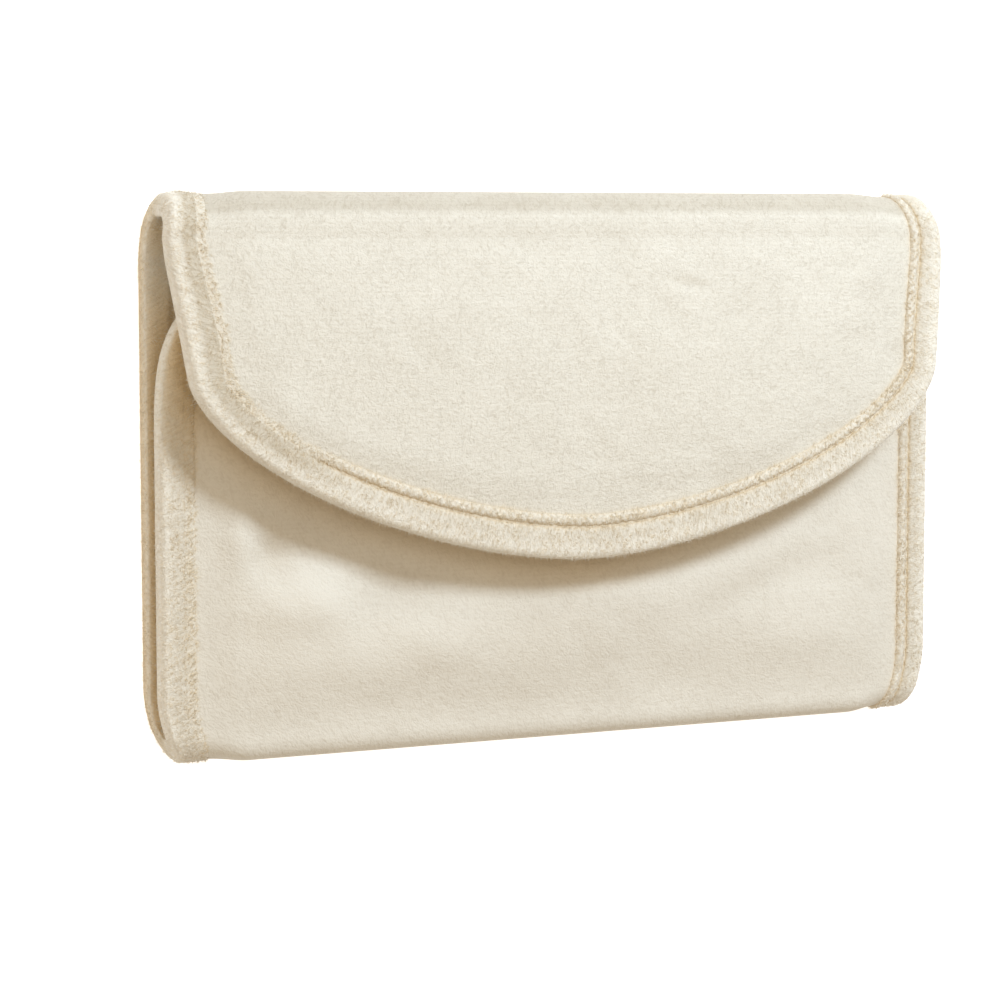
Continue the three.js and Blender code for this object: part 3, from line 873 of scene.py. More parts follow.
class GroupBuilder:
    """Builds a shader node group step by step."""

    def __init__(self, name: str, values: Sequence[str], on_cloth: bool = True) -> None:
        """Start a group that mixes two colours and puts out a colour and a normal.

        Args:
            name: Name of the group.
            values: Names of its number inputs.
            on_cloth: Whether its patterns lie on the cloth's own coordinates or in space.
        """
        self.tree = bpy.data.node_groups.new(name, "ShaderNodeTree")
        for way, kind, sockets in (
            ("INPUT", "NodeSocketColor", ("Colour", "Shade")), ("INPUT", "NodeSocketFloat", values),
            ("OUTPUT", "NodeSocketColor", ("Colour",)), ("OUTPUT", "NodeSocketVector", ("Normal",)),
        ):
            for socket in sockets:
                self.tree.interface.new_socket(socket, in_out=way, socket_type=kind)
        self.given = self.tree.nodes.new("NodeGroupInput").outputs
        if on_cloth:
            cloth = self.tree.nodes.new("ShaderNodeUVMap")
            cloth.uv_map = CLOTH_UV
            self.place = cloth.outputs["UV"]
        else:
            self.place = self.tree.nodes.new("ShaderNodeTexCoord").outputs["Object"]

    def math(self, operation: str, first: Source, second: Source = 0.0) -> bpy.types.NodeSocket:
        """Add a Math node and give its value."""
        return math_node(self.tree, operation, first, second)

    def noise(self, scale: tuple[float, float], turn: float, detail: float, low: float,
              high: float, crooked: float = 0.0) -> bpy.types.NodeSocket:
        """Add noise over the cloth, spread to the range from 0 to 1.

        Args:
            scale: Noise cells per metre across and along.
            turn: Rotation of the pattern in degrees.
            detail: Octaves of the noise.
            low: Noise value that becomes 0.
            high: Noise value that becomes 1.
            crooked: How far the pattern is twisted.

        Returns:
            The value.
        """
        turned = add_node(self.tree, "Mapping", {
            "Vector": self.place, "Rotation": (0.0, 0.0, math.radians(turn))})
        stretched = add_node(self.tree, "Mapping", {"Vector": turned.outputs[0], "Scale": (*scale, 1.0)})
        texture = add_node(self.tree, "TexNoise", {
            "Vector": stretched.outputs[0], "Scale": 1.0, "Detail": detail, "Distortion": crooked})
        spread = add_node(self.tree, "MapRange", {
            "Value": texture.outputs[0], "From Min": low, "From Max": high})
        return spread.outputs[0]

    def waves(self, axis: int, pitch: Source) -> bpy.types.NodeSocket:
        """Add even ridges across the cloth.

        Args:
            axis: 0 for ridges that follow each other across, 1 for along.
            pitch: Distance between ridges in metres.

        Returns:
            A value from 0 to 1.
        """
        parts = add_node(self.tree, "SeparateXYZ", {0: self.place})
        turns = self.math("DIVIDE", parts.outputs[axis], pitch)
        wave = self.math("SINE", self.math("MULTIPLY", turns, 2.0 * math.pi))
        return self.math("ADD", self.math("MULTIPLY", wave, 0.5), 0.5)

    def finish(self, mix: bpy.types.NodeSocket, height: bpy.types.NodeSocket,
               distance: float) -> bpy.types.ShaderNodeTree:
        """Feed the outputs.

        Args:
            mix: Share of the shade colour.
            height: Height of the relief from 0 to 1.
            distance: Height in metres that a relief of 1 stands for.

        Returns:
            The finished group.
        """
        blend = self.tree.nodes.new("ShaderNodeMix")
        blend.data_type = "RGBA"
        feed(self.tree, blend, {"Factor": mix, "A": self.given["Colour"], "B": self.given["Shade"]})
        bump = add_node(self.tree, "Bump", {
            "Distance": distance, "Strength": self.given["Relief"], "Height": height})
        result = self.tree.nodes.new("NodeGroupOutput")
        feed(self.tree, result, {"Colour": blend.outputs["Result"], "Normal": bump.outputs[0]})
        return self.tree


def pile_group() -> bpy.types.ShaderNodeTree:
    """Build the velvet pile: nap patches, crooked specks, woven rows and fine bumps, with the painted shade
    and highlights of the mesh's attribute.

    Returns:
        The node group.
    """
    row_pitch, pile_depth = 0.0012, 0.0005
    tuft_height, pile_height, speck_depth = 0.8, 0.5, 0.8
    group = GroupBuilder("velvet_pile", ["Patch", "Speck", "Brush", "Rows", "Relief"])
    patches = group.noise(scale=(42.0, 60.0), turn=20.0, detail=3.0, low=0.36, high=0.68)
    specks = group.noise(scale=(760.0, 420.0), turn=-32.0, detail=3.0, low=0.46, high=0.74, crooked=1.6)
    tufts = group.noise(scale=(620.0, 900.0), turn=8.0, detail=2.0, low=0.34, high=0.68, crooked=0.9)
    pile = group.noise(scale=(2100.0, 2100.0), turn=0.0, detail=3.0, low=0.3, high=0.7)
    streaks = group.noise(scale=(190.0, 1500.0), turn=28.0, detail=2.0, low=0.42, high=0.68, crooked=0.4)
    rows = group.waves(1, row_pitch)
    given = group.given
    mix = group.math("MULTIPLY", patches, given["Patch"])
    for pattern, share in ((specks, "Speck"), (streaks, "Brush"), (rows, "Rows")):
        mix = group.math("ADD", mix, group.math("MULTIPLY", pattern, given[share]))
    # The mesh's attribute adds painted shade on folds, dents and grooves, and takes it away as a painted
    # highlight on swellings.
    nap_and_light_node = group.tree.nodes.new("ShaderNodeAttribute")
    nap_and_light_node.attribute_name = NAP_AND_LIGHT_ATTRIBUTE
    clipped = group.math("MINIMUM", group.math("ADD", mix, nap_and_light_node.outputs["Fac"]), 1.0)
    raised_tufts = group.math("MULTIPLY", tufts, tuft_height)
    raised_pile = group.math("MULTIPLY", pile, pile_height)
    # The specks and brushed streaks sink in the relief where they darken the colour: partly the pile's random
    # tone, partly painted shade in the dips.
    sunk = group.math("ADD", specks, group.math("MULTIPLY", streaks, given["Brush"]))
    bumps = group.math("ADD", raised_tufts, raised_pile)
    height = group.math("SUBTRACT", bumps, group.math("MULTIPLY", sunk, speck_depth))
    return group.finish(clipped, height, pile_depth)


def weave_group() -> bpy.types.ShaderNodeTree:
    """Build a plain weave: threads along and across.

    Returns:
        The node group.
    """
    weave_depth = 0.0002
    group = GroupBuilder("plain_weave", ["Pitch", "Relief"])
    across, along = (group.waves(axis, group.given["Pitch"]) for axis in (0, 1))
    height = group.math("MAXIMUM", across, along)
    # The threads take the shade colour where they dip: painted shade between the threads.
    return group.finish(group.math("SUBTRACT", 1.0, height), height, weave_depth)


def wear_group() -> bpy.types.ShaderNodeTree:
    """Build the surface of a handled hard piece: dull patches and fine scratches.

    Returns:
        The node group.
    """
    scratch_depth = 0.00005
    group = GroupBuilder("handled_surface", ["Relief"], on_cloth=False)
    patches = group.noise(scale=(260.0, 420.0), turn=15.0, detail=3.0, low=0.35, high=0.7)
    scratches = group.noise(scale=(600.0, 7000.0), turn=24.0, detail=2.0, low=0.4, high=0.65)
    return group.finish(group.math("MULTIPLY", patches, scratches), scratches, scratch_depth)


class Finishes:
    """Every material of the roll."""

    def __init__(self) -> None:
        """Build the shared groups and the materials."""
        pile, weave, wear = pile_group(), weave_group(), wear_group()
        # The flap's and the cream velvets are one cloth: the flap's copy is painted a touch lighter with
        # stronger specks, the cream velvet a touch darker, for how the light falls on them.
        self.flap = PileFinish(
            "flap_velvet", (0.735, 0.715, 0.65), (0.50, 0.46, 0.385),
            patch=0.12, speck=0.38, brush=0.0, rows=0.08, relief=0.36, sheen=0.30).build(pile)
        self.velvet = PileFinish(
            "cream_velvet", (0.725, 0.703, 0.64), (0.50, 0.455, 0.38),
            patch=0.12, speck=0.28, brush=0.0, rows=0.05, relief=0.22, sheen=0.30).build(pile)
        self.binding = PileFinish(
            "binding_velvet", (0.82, 0.80, 0.735), (0.52, 0.465, 0.37),
            patch=0.08, speck=0.22, brush=0.26, rows=0.0, relief=0.40, sheen=0.35).build(pile)
        # A white hollow tint: the fuzz takes no painted shade.
        self.fuzz = PileFinish(
            "binding_fuzz", (0.82, 0.805, 0.75), (0.60, 0.555, 0.46),
            patch=0.25, speck=0.30, brush=0.0, rows=0.0, relief=0.0, sheen=0.35,
            hollow=(1.0, 1.0, 1.0)).build(pile)
        self.lining = PileFinish(
            "lining_velvet", (0.72, 0.685, 0.59), (0.56, 0.51, 0.41),
            patch=0.10, speck=0.20, brush=0.0, rows=0.08, relief=0.3, sheen=0.25).build(pile)
        self.thread = WeaveFinish(
            "thread", (0.56, 0.47, 0.33), (0.42, 0.34, 0.22), pitch=0.0006, relief=0.5).build(weave)
        self.tape = WeaveFinish(
            "zip_tape", (0.70, 0.61, 0.45), (0.52, 0.43, 0.29), pitch=0.0007, relief=0.6).build(weave)
        self.coil = WornFinish(
            "zip_coil", (0.58, 0.48, 0.31), (0.50, 0.40, 0.25), roughness=0.4, metallic=0.0).build(wear)
        self.metal = WornFinish(
            "pale_brass", (0.78, 0.62, 0.34), (0.62, 0.48, 0.26), roughness=0.24, metallic=1.0).build(wear)
        self.magnet = WornFinish(
            "magnet_strip", (0.03, 0.03, 0.03), (0.05, 0.05, 0.05), roughness=0.7, metallic=0.0).build(wear)


def dress(piece: bpy.types.Object, material: bpy.types.Material, slot: str, *nodes: str) -> None:
    """Give a piece its material, hide the frame nodes it stands for, and log it.

    Args:
        piece: The piece.
        material: Its material.
        slot: Not used.
        nodes: Frame nodes that it stands for.
    """
    piece.data.materials.clear()
    piece.data.materials.append(material)
    if nodes:
        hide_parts(*nodes)
    log.info("built %s with %d points", piece.name, len(piece.data.vertices))


@dataclass(frozen=True)
class Bulge:
    """A soft swelling of a panel, or a dent if its height is negative.

    Attributes:
        x: Its middle across the panel.
        y: Its middle along the panel.
        across: How far it spreads across.
        along: How far it spreads along.
        height: Its height.
        nap: Painted shade on it, and a painted highlight where it is less than 0.
        turn: How far it is turned, in degrees.
    """

    x: float
    y: float
    across: float
    along: float
    height: float
    nap: float = 0.0
    turn: float = 0.0

    def share(self, x: Array, y: Array) -> Array:
        """How much of it there is.

        Args:
            x: Places across the panel.
            y: Places along the panel, of the same shape.

        Returns:
            Share at each place, 1 in its middle.
        """
        angle = math.radians(self.turn)
        along_x = (x - self.x) * math.cos(angle) + (y - self.y) * math.sin(angle)
        along_y = (y - self.y) * math.cos(angle) - (x - self.x) * math.sin(angle)
        return np.exp(-((along_x / self.across) ** 2) - (along_y / self.along) ** 2)


@dataclass(frozen=True)
class PaddedCloth:
    """Slack cloth, sewn down along its edges and pushed up by its padding.

    Attributes:
        width: Its width.
        length: Its length.
        seed: Which noise starts its wrinkles.
        slack: How much larger it is cut than the frame that it is sewn to.
        pressure: Push of the padding.
        frames: Steps of the simulation.
        cap: Furthest that it may move.
        cell: Size of its mesh's squares.
        start_height: Height of the waves that it starts with.
        start_wave: Rough distance between them.
        quality: Steps of the simulation within a frame.
        mass: Mass of a point in kilograms.
        stiffness: How stiffly it takes pull and push.
        bending: How stiffly it bends.
    """

    BEFORE_LAST = 1.001

    width: float
    length: float
    seed: float
    slack: float = 0.012
    pressure: float = 0.25
    frames: int = 20
    cap: float = 0.0022
    cell: float = 0.0032
    start_height: float = 0.0003
    start_wave: float = 0.014
    quality: int = 6
    mass: float = 0.15
    stiffness: float = 12.0
    bending: float = 0.06

    def trial(self, columns: int, rows: int) -> bpy.types.Object:
        """Make the cloth as it is before the padding pushes it.

        Args:
            columns: Points across.
            rows: Points along.

        Returns:
            The cloth, held along its border, with a simulation that is yet to run.
        """
        x, y = np.meshgrid(np.linspace(0.0, self.width, columns), np.linspace(0.0, self.length, rows))
        start = self.start_height * ripple(x, y, self.start_wave, self.seed)
        number = np.arange(rows * columns).reshape(rows, columns)
        mesh = bpy.data.meshes.new("trial_cloth")
        points = np.stack([x, y, start], axis=-1).reshape(-1, 3)
        mesh.from_pydata(points.tolist(), [], MeshKit.quads(number).tolist())
        trial = add_object("trial_cloth", mesh)
        border = np.concatenate([number[0], number[-1], number[:, 0], number[:, -1]])
        trial.vertex_groups.new(name="sewn").add(np.unique(border).tolist(), 1.0, "REPLACE")
        cloth = trial.modifiers.new("cloth", "CLOTH")
        cloth.settings.vertex_group_mass = "sewn"
        cloth.settings.quality = self.quality
        cloth.settings.mass = self.mass
        cloth.settings.tension_stiffness = self.stiffness
        cloth.settings.compression_stiffness = self.stiffness
        cloth.settings.bending_stiffness = self.bending
        cloth.settings.shrink_min = -self.slack
        cloth.settings.shrink_max = -self.slack
        cloth.settings.use_pressure = True
        cloth.settings.uniform_pressure_force = self.pressure
        cloth.settings.effector_weights.gravity = 0.0
        cloth.point_cache.frame_start = 1
        cloth.point_cache.frame_end = self.frames
        return trial

    def heights(self) -> Array:
        """Run the simulation.

        Returns:
            Height of the cloth on an even grid, rows by columns.
        """
        columns, rows = int(self.width / self.cell) + 1, int(self.length / self.cell) + 1
        trial = self.trial(columns, rows)
        for step in range(1, self.frames + 1):
            bpy.context.scene.frame_set(step)
        settled = trial.evaluated_get(bpy.context.evaluated_depsgraph_get())
        moved = np.zeros(rows * columns * 3, np.float32)
        settled.data.vertices.foreach_get("co", moved)
        bpy.context.scene.frame_set(1)
        bpy.data.objects.remove(trial)
        height = moved.reshape(rows, columns, 3)[..., 2].astype(float)
        low, high = height.min() * 1e3, height.max() * 1e3
        log.info("cloth simulation moved the cloth from %.2f to %.2f mm", low, high)
        return np.clip(height, -self.cap, self.cap)

    @classmethod
    def cells(cls, share: Array, count: int) -> tuple[Array, Array]:
        """Find the grid cells that places fall in.

        Args:
            share: Places as shares of the grid's length.
            count: How many grid points there are along it.

        Returns:
            Number of each cell's first point, and an eased share of the way to the next one.
        """
        place = np.clip(share * (count - 1), 0.0, count - cls.BEFORE_LAST)
        first = place.astype(int)
        return first, smooth(place - first)

    def over(self, x: Array, along: Array) -> Array:
        """Height of the simulated cloth under the points of a panel.

        Args:
            x: Places across, from the panel's middle.
            along: Places along the cloth.

        Returns:
            Height at each place.
        """
        grid = self.heights()
        rows, columns = grid.shape
        left, share_x = self.cells(x / self.width + 0.5, columns)
        low, share_y = self.cells(along / self.length, rows)
        near = grid[low, left] * (1.0 - share_x) + grid[low, left + 1] * share_x
        far = grid[low + 1, left] * (1.0 - share_x) + grid[low + 1, left + 1] * share_x
        return near * (1.0 - share_y) + far * share_y


@dataclass
class PanelSkin:
    """The padded velvet face of one panel, tucked under its binding.

    Attributes:
        name: Name of the piece.
        shape: The panel's form.
        seed: Which noise its waves take.
        puff: How far the padding lifts it above its flat face.
        wave: Height of its soft waves.
        bulges: Its swellings and dents.
        wrinkle: Share of the simulated cloth's height that it takes.
        fold_nap: Painted shade on the fold, where its face turns towards the top or the bottom.
        fold_turn: How far the face has turned, as the sine of the angle, where that starts.
        crease: How far the fold's corner stands out of its plain arc.
        tuck_inset: Distance from the edge where it comes out of the binding.
        columns: Points across.
        rows: Rows on the flat part.
        thickness: Thickness of the cloth.
        tuck: How deep it lies under the binding.
        tuck_length: Distance over which it rises to its full height.
    """

    FOLD_SPACING = 0.0008
    FOLD_STEEPNESS = 5.0
    FLAT_START = 0.6
    FLAT_RAMP = 0.012
    BROAD_WAVE = 0.055
    BROAD_STRETCH = 1.3
    FINE_WAVE = 0.019
    FINE_STRETCH = (0.8, 1.6)
    FINE_SHARE = 0.4
    FINE_SEED = 7.0

    name: str
    shape: PanelShape
    seed: float
    puff: float
    wave: float
    bulges: tuple[Bulge, ...] = ()
    wrinkle: float = 0.0
    fold_nap: float = 0.0
    fold_turn: float = 0.44
    crease: float = 0.0
    tuck_inset: float = 0.0085
    columns: int = 190
    rows: int = 120
    thickness: float = 0.001
    tuck: float = 0.0005
    tuck_length: float = 0.013

    def height(self, grid: PanelGrid) -> Array:
        """Height of the cloth above the panel's plain form.

        Args:
            grid: Points over the panel.

        Returns:
            Height at each point.
        """
        x, along = grid.uv[..., 0], grid.uv[..., 1]
        padded = smooth((grid.edge - self.tuck_inset) / self.tuck_length)
        broad = ripple(x, along * self.BROAD_STRETCH, self.BROAD_WAVE, self.seed)
        across, lengthwise = self.FINE_STRETCH
        fine = ripple(x * across, along * lengthwise, self.FINE_WAVE, self.seed + self.FINE_SEED)
        lift = self.wave * (broad + self.FINE_SHARE * fine)
        for bulge in self.bulges:
            lift = lift + bulge.height * bulge.share(grid.base[..., 0], grid.base[..., 1])
        if self.wrinkle:
            cloth = PaddedCloth(ROLL_WIDTH - 2.0 * self.tuck_inset, float(along.max()), self.seed)
            lift = lift + self.wrinkle * cloth.over(x, along)
        from_fold = np.abs(np.abs(grid.base[..., 1]) - ROLL_HEIGHT / 2.0)
        on_flat = smooth((from_fold - self.shape.radius * self.FLAT_START) / self.FLAT_RAMP)
        corner = self.crease * (2.0 * grid.normal[..., 1] * grid.normal[..., 2]) ** 2
        return -self.tuck * (1.0 - padded) + padded * (self.puff + on_flat * lift + corner)

    def build(self) -> bpy.types.Object:
        """Make the piece.

        Returns:
            The new object.
        """
        grid = self.shape.grid(self.columns, self.rows, CLOTH_INSET, self.FOLD_SPACING)
        height = self.height(grid)[..., None]
        outer = grid.base + grid.normal * height
        inner = grid.base + grid.normal * (height - self.thickness)
        # Painted shade on the fold's faces that turn to the top or the bottom, plus each bulge's painted
        # light.
        turned = np.abs(grid.normal[..., 1]) - self.fold_turn
        nap = self.fold_nap * smooth(turned * self.FOLD_STEEPNESS)
        for bulge in self.bulges:
            nap = nap + bulge.nap * bulge.share(grid.base[..., 0], grid.base[..., 1])
        return self.shape.bend(MeshKit.slab(self.name, outer, inner, grid.uv, nap), 0.0)


@dataclass
class PanelLining:
    """The lining on the inside of one panel.

    Attributes:
        name: Name of the piece.
        shape: The panel's form.
        seed: Which noise its waves take.
        columns: Points across.
        rows: Rows on the flat part.
        thickness: Thickness of the cloth.
        wave: Height of its soft waves.
    """

    FOLD_SPACING = 0.0012
    WAVELENGTH = 0.03

    name: str
    shape: PanelShape
    seed: float
    columns: int = 90
    rows: int = 50
    thickness: float = 0.001
    wave: float = 0.00025

    def build(self) -> bpy.types.Object:
        """Make the piece.

        Returns:
            The new object.
        """
        grid = self.shape.grid(self.columns, self.rows, CLOTH_INSET, self.FOLD_SPACING)
        hollow = self.wave * (ripple(grid.uv[..., 0], grid.uv[..., 1], self.WAVELENGTH, self.seed) - 1.0)
        depth = (PANEL_DEPTH + hollow)[..., None]
        outer = grid.base - grid.normal * (depth - self.thickness)
        inner = grid.base - grid.normal * depth
        return self.shape.bend(MeshKit.slab(self.name, outer, inner, grid.uv), PANEL_DEPTH)


@dataclass(frozen=True)
class PileFuzz:
    """Pile of a velvet tape: slim spikes brushed across it.

    Attributes:
        per_metre: Spikes along each metre of the tape.
        length: Their greatest length.
        width: Their width at the root.
        brush: How far they lean across the tape, and how far along it.
        stray: How far single ones stray from that.
        seed: Which random numbers place them.
    """

    LENGTH_SHARES = (0.35, 0.75)
    LEAST_LENGTH = 1e-12
    SPIKE = ((0, 1, 3), (1, 2, 3), (2, 0, 3), (2, 1, 0))

    per_metre: float = 30000.0
    length: float = 0.0011
    width: float = 0.00014
    brush: tuple[float, float] = (0.8, 0.5)
    stray: float = 0.4
    seed: int = 5

    def build(self, name: str, rings: Array, nap: Array, face: slice) -> bpy.types.Object:
        """Make the spikes on a swept tape.

        Args:
            name: Name of the piece.
            rings: The tape's rings, rings by points by three.
            nap: How far the tape's pile leans away at each ring point, with painted shade and highlights.
            face: The ring points that carry spikes.

        Returns:
            One object that holds every spike.
        """
        random = np.random.default_rng(self.seed)
        edge = rings[:, face]
        run = np.linalg.norm(np.diff(edge[:, 0], axis=0), axis=1).sum()
        count = int(run * self.per_metre)
        station = random.integers(0, len(edge) - 1, count)
        width = np.linalg.norm(np.diff(edge[len(edge) // 2], axis=0), axis=1)
        column = random.choice(len(width), count, p=width / width.sum())
        share_along, share_across = random.random((2, count, 1))
        corner = edge[station, column]
        along = edge[station + 1, column] - corner
        across = edge[station, column + 1] - corner
        root = corner + share_along * along + share_across * across
        outward = np.cross(along, across)
        away = root - rings.mean(axis=1)[station]
        outward *= np.sign((outward * away).sum(axis=1))[:, None]
        outward, along, across = (unit(rows, self.LEAST_LENGTH) for rows in (outward, along, across))
        lean = outward + self.brush[0] * across + self.brush[1] * along
        lean = lean + random.normal(0.0, self.stray, (count, 3))
        tip = root + self.length * random.uniform(*self.LENGTH_SHARES, (count, 1)) * lean
        turns = np.arange(3) * 2.0 * math.pi / 3.0
        foot = np.cos(turns)[None, :, None] * along[:, None] + np.sin(turns)[None, :, None] * across[:, None]
        base = root[:, None] + 0.5 * self.width * foot
        corners = np.concatenate([base, tip[:, None]], axis=1).reshape(-1, 3)
        faces = (4 * np.arange(count)[:, None, None] + np.array(self.SPIKE)[None]).reshape(-1, 3)
        root_nap_and_light = np.repeat(nap[:, face][station, column], 4)
        return MeshKit.make(name, corners, faces.tolist(), np.repeat(root[:, :2], 4, axis=0), root_nap_and_light)


def depth_below(depth: Array) -> Array:
    """How far points of a tape lie below the nearer of its two faces, 0 for points above it."""
    return np.maximum(np.minimum(depth, BINDING_DEPTH - depth), 0.0)


@dataclass
class EdgeBinding:
    """Velvet tape folded over a panel's edge and sewn through, with a slubbed lip inside the stitches.

    Attributes:
        name: Name of the piece.
        shape: The panel's form.
        hand: Side of the panel that it starts on.
        swell: How far it swells above the panel's face.
        seed: Which noise its unevenness takes.
        stitch_inset: Distance of the stitch line from the edge, at the folds.
        widening: How much further in the stitch line lies away from the folds.
        lip_width: Width of the lip beyond the stitches.
        spacing: Distance between stations.
        stitch_pitch: Distance between stitches.
        stitch_length: Length of a stitch.
        stitch_radius: Radius of its thread.
        slub_pitch: Distance between the lip's slanted slubs.
        slub_height: Their height.
        uneven: How far the tape is uneven.
        covered: Length of its start on which the pile hides the seam.
        cover: How fully it does.
        covered_nap: Greatest painted shade on the band where the pile hides the seam.
        pile: Numbers of the first section point that carries pile and of the one past the last.
    """

    LIP = slice(1, 5)
    LIP_SINK = 0.0004
    LIP_NAP = 0.30
    BAND_SHADE = 2.5
    # Painted shade in the dips between the lip's slubs.
    BETWEEN_SLUB_SHADE = 0.22
    SLUB_DRIFT = 0.012
    SLUB_SEED = 9.0
    GROOVE = 0.0006
    CAVITY = (0.003, 0.009)
    CAVITY_DEPTH = (0.0021, 0.0045)
    WIDENING_RAMP = 0.05
    COVER_RAMP = 0.03
    BROAD_WOBBLE = 0.014
    FINE_WOBBLE = 0.0045
    FINE_SHARE = 0.35
    FINE_SEED = 3.0
    SEAM_WIDTH = 0.0007
    SEAM_REACH = 0.0008
    SEAM_PULL = 0.0003
    STITCH_DEPTH = 0.0007
    STITCH_ARCH = 0.0003
    STITCH_TAPER = 0.85
    STITCH_RINGS = 5
    STITCH_SIDES = 6
    SHORT_PILE = PileFuzz()
    LONG_PILE = PileFuzz(
        per_metre=4500.0, length=0.0013, width=0.0002, brush=(-0.9, 0.8), stray=0.3, seed=6)

    name: str
    shape: PanelShape
    hand: Hand
    swell: float
    seed: float
    stitch_inset: float = 0.0066
    widening: float = 0.0
    lip_width: float = 0.0030
    spacing: float = 0.00055
    stitch_pitch: float = 0.0034
    stitch_length: float = 0.0022
    stitch_radius: float = 0.00016
    slub_pitch: float = 0.0024
    slub_height: float = 0.0004
    uneven: float = 0.00018
    covered: float = 0.0
    cover: float = 0.0
    covered_nap: float = 0.32
    pile: tuple[int, int] = (1, 16)

    @cached_property
    def section(self) -> Array:
        """Outline of the folded tape.

        Returns:
            Rows of inset from the edge, depth below the face, share of the unevenness, share of the slubs,
            and the pile's lean with painted light: painted shade in the stitch groove and the hidden cavity,
            a lighter rim.
        """
        back, swell, groove = BINDING_DEPTH, self.swell, self.stitch_inset
        lip = groove + self.lip_width
        # The last number of each row is the pile's lean with painted light: painted shade in the groove and
        # cavity, none on the lighter rim.
        outer = [
            (lip + 0.0006, 0.0012, 0.0, 0.0, 0.25), (lip + 0.0002, 0.0004, 0.3, 0.5, 0.15),
            (lip - 0.0006, -0.0001, 0.4, 1.0, 0.0), (groove + 0.0012, -0.0001, 0.4, 1.0, 0.0),
            (groove + 0.0004, 0.0002, 0.2, 0.4, 0.2), (groove, self.GROOVE, 0.0, 0.0, 0.7),
            (groove - 0.0004, 0.0001, 0.2, 0.0, 0.32), (groove - 0.0012, -0.7 * swell, 0.6, 0.0, 0.3),
            (0.6 * groove, -swell, 1.0, 0.0, 0.26), (0.0030, -swell, 1.0, 0.0, 0.1),
            (0.0016, -0.7 * swell, 1.0, 0.0, 0.0), (0.0007, 0.0001, 1.0, 0.0, 0.0),
            (0.0002, 0.0008, 1.0, 0.0, 0.0),
        ]
        mirrored = [(inset, back - abs(depth), *rest) for inset, depth, *rest in reversed(outer)]
        rim = [(0.0, depth, 1.0, 0.0, 0.0) for depth in (0.0018, back / 2.0, back - 0.0018)]
        near, far = self.CAVITY
        high, low = self.CAVITY_DEPTH
        cavity = [(inset, depth, 0.0, 0.0, 0.5) for inset, depth in (
            (far, low), (near, low), (near, high), (far, high))]
        return np.array([*outer, *rim, *mirrored, *cavity])

    @cached_property
    def line(self) -> EdgeLine:
        """Stations along the edge."""
        return self.shape.edge_line(self.hand, self.spacing)

    @cached_property
    def widened(self) -> Array:
        """How much further in the stitch line lies at each station."""
        run = self.line.run[:, None]
        return self.widening * smooth(np.minimum(run, run[-1] - run) / self.WIDENING_RAMP)

    @cached_property
    def shown(self) -> Array:
        """How far the seam shows at each station, from 0 to 1."""
        start = smooth((self.line.run[:, None] - self.covered) / self.COVER_RAMP)
        return 1.0 - self.cover * (1.0 - start)

    @cached_property
    def slubs(self) -> Array:
        """Slanted slubs of the lip, stations by section points, from 0 to 1."""
        run = self.line.run[:, None]
        shift = wobble(run, self.SLUB_DRIFT, self.seed + self.SLUB_SEED)
        turns = (run + self.section[None, :, 0]) / self.slub_pitch + shift
        return self.section[None, :, 3] * self.shown * (0.5 - 0.5 * np.cos(2.0 * math.pi * turns))

    @cached_property
    def nap(self) -> Array:
        """How far the pile leans away, with painted shade in the groove, the cavity, on the covered band and
        between the slubs, stations by section points, from 0 to 1.
        """
        slub_share, open_nap_and_light = self.section.T[3:, None]
        band = np.minimum(self.BAND_SHADE * open_nap_and_light, self.covered_nap)
        hidden = np.where(slub_share > 0.0, self.LIP_NAP, band)
        between_slubs = slub_share * self.shown - self.slubs
        return hidden + (open_nap_and_light - hidden) * self.shown + self.BETWEEN_SLUB_SHADE * between_slubs

    @cached_property
    def rings(self) -> Array:
        """Points of the uneven, slubbed tape.

        Returns:
            Points, stations by section points by three.
        """
        run, shown = self.line.run[:, None], self.shown
        inset, depth, uneven_share, slub_share = self.section.T[:4, None]
        broad = wobble(run, self.BROAD_WOBBLE, self.seed)
        fine = wobble(run, self.FINE_WOBBLE, self.seed + self.FINE_SEED)
        uneven = self.uneven * (broad + self.FINE_SHARE * fine) * uneven_share
        outward = np.sign(BINDING_DEPTH / 2.0 - depth)
        pull = 0.5 + 0.5 * np.cos(2.0 * math.pi * run / self.stitch_pitch)
        near_groove = np.exp(-(((inset - self.stitch_inset) / self.SEAM_WIDTH) ** 2))
        in_seam = np.abs(inset - self.stitch_inset) < self.SEAM_REACH
        open_depth = np.where(in_seam, depth_below(depth), 0.0)
        seam = self.SEAM_PULL * pull * shown * near_groove - open_depth * (1.0 - shown)
        lip = self.LIP_SINK * slub_share * (1.0 - shown) - self.slub_height * self.slubs
        sunk = np.maximum(-uneven, 0.0) + seam + lip
        wide = inset + self.widened * np.minimum(inset / self.stitch_inset, 1.0)
        return self.shape.on_edge(self.line, wide + 0.5 * uneven, depth + outward * sunk)

    def build(self) -> bpy.types.Object:
        """Make the tape.

        Returns:
            The new object.
        """
        girth = lengths_along(self.section[:, :2])
        uv = np.stack(np.broadcast_arrays(girth[None, :], self.line.run[:, None]), axis=-1)
        return self.shape.bend(MeshKit.sweep(self.name, self.rings, uv, self.nap), BINDING_DEPTH)

    def build_fuzz(self) -> bpy.types.Object:
        """Make the pile on the tape's shown face and rim."""
        fuzz = self.SHORT_PILE.build(f"{self.name}_fuzz", self.rings, self.nap, slice(*self.pile))
        return self.shape.bend(fuzz, BINDING_DEPTH)

    def build_tufts(self) -> bpy.types.Object:
        """Make the long tufts that lie from the lip over the panel's velvet."""
        tufts = self.LONG_PILE.build(f"{self.name}_tufts", self.rings, self.nap, self.LIP)
        return self.shape.bend(tufts, BINDING_DEPTH)

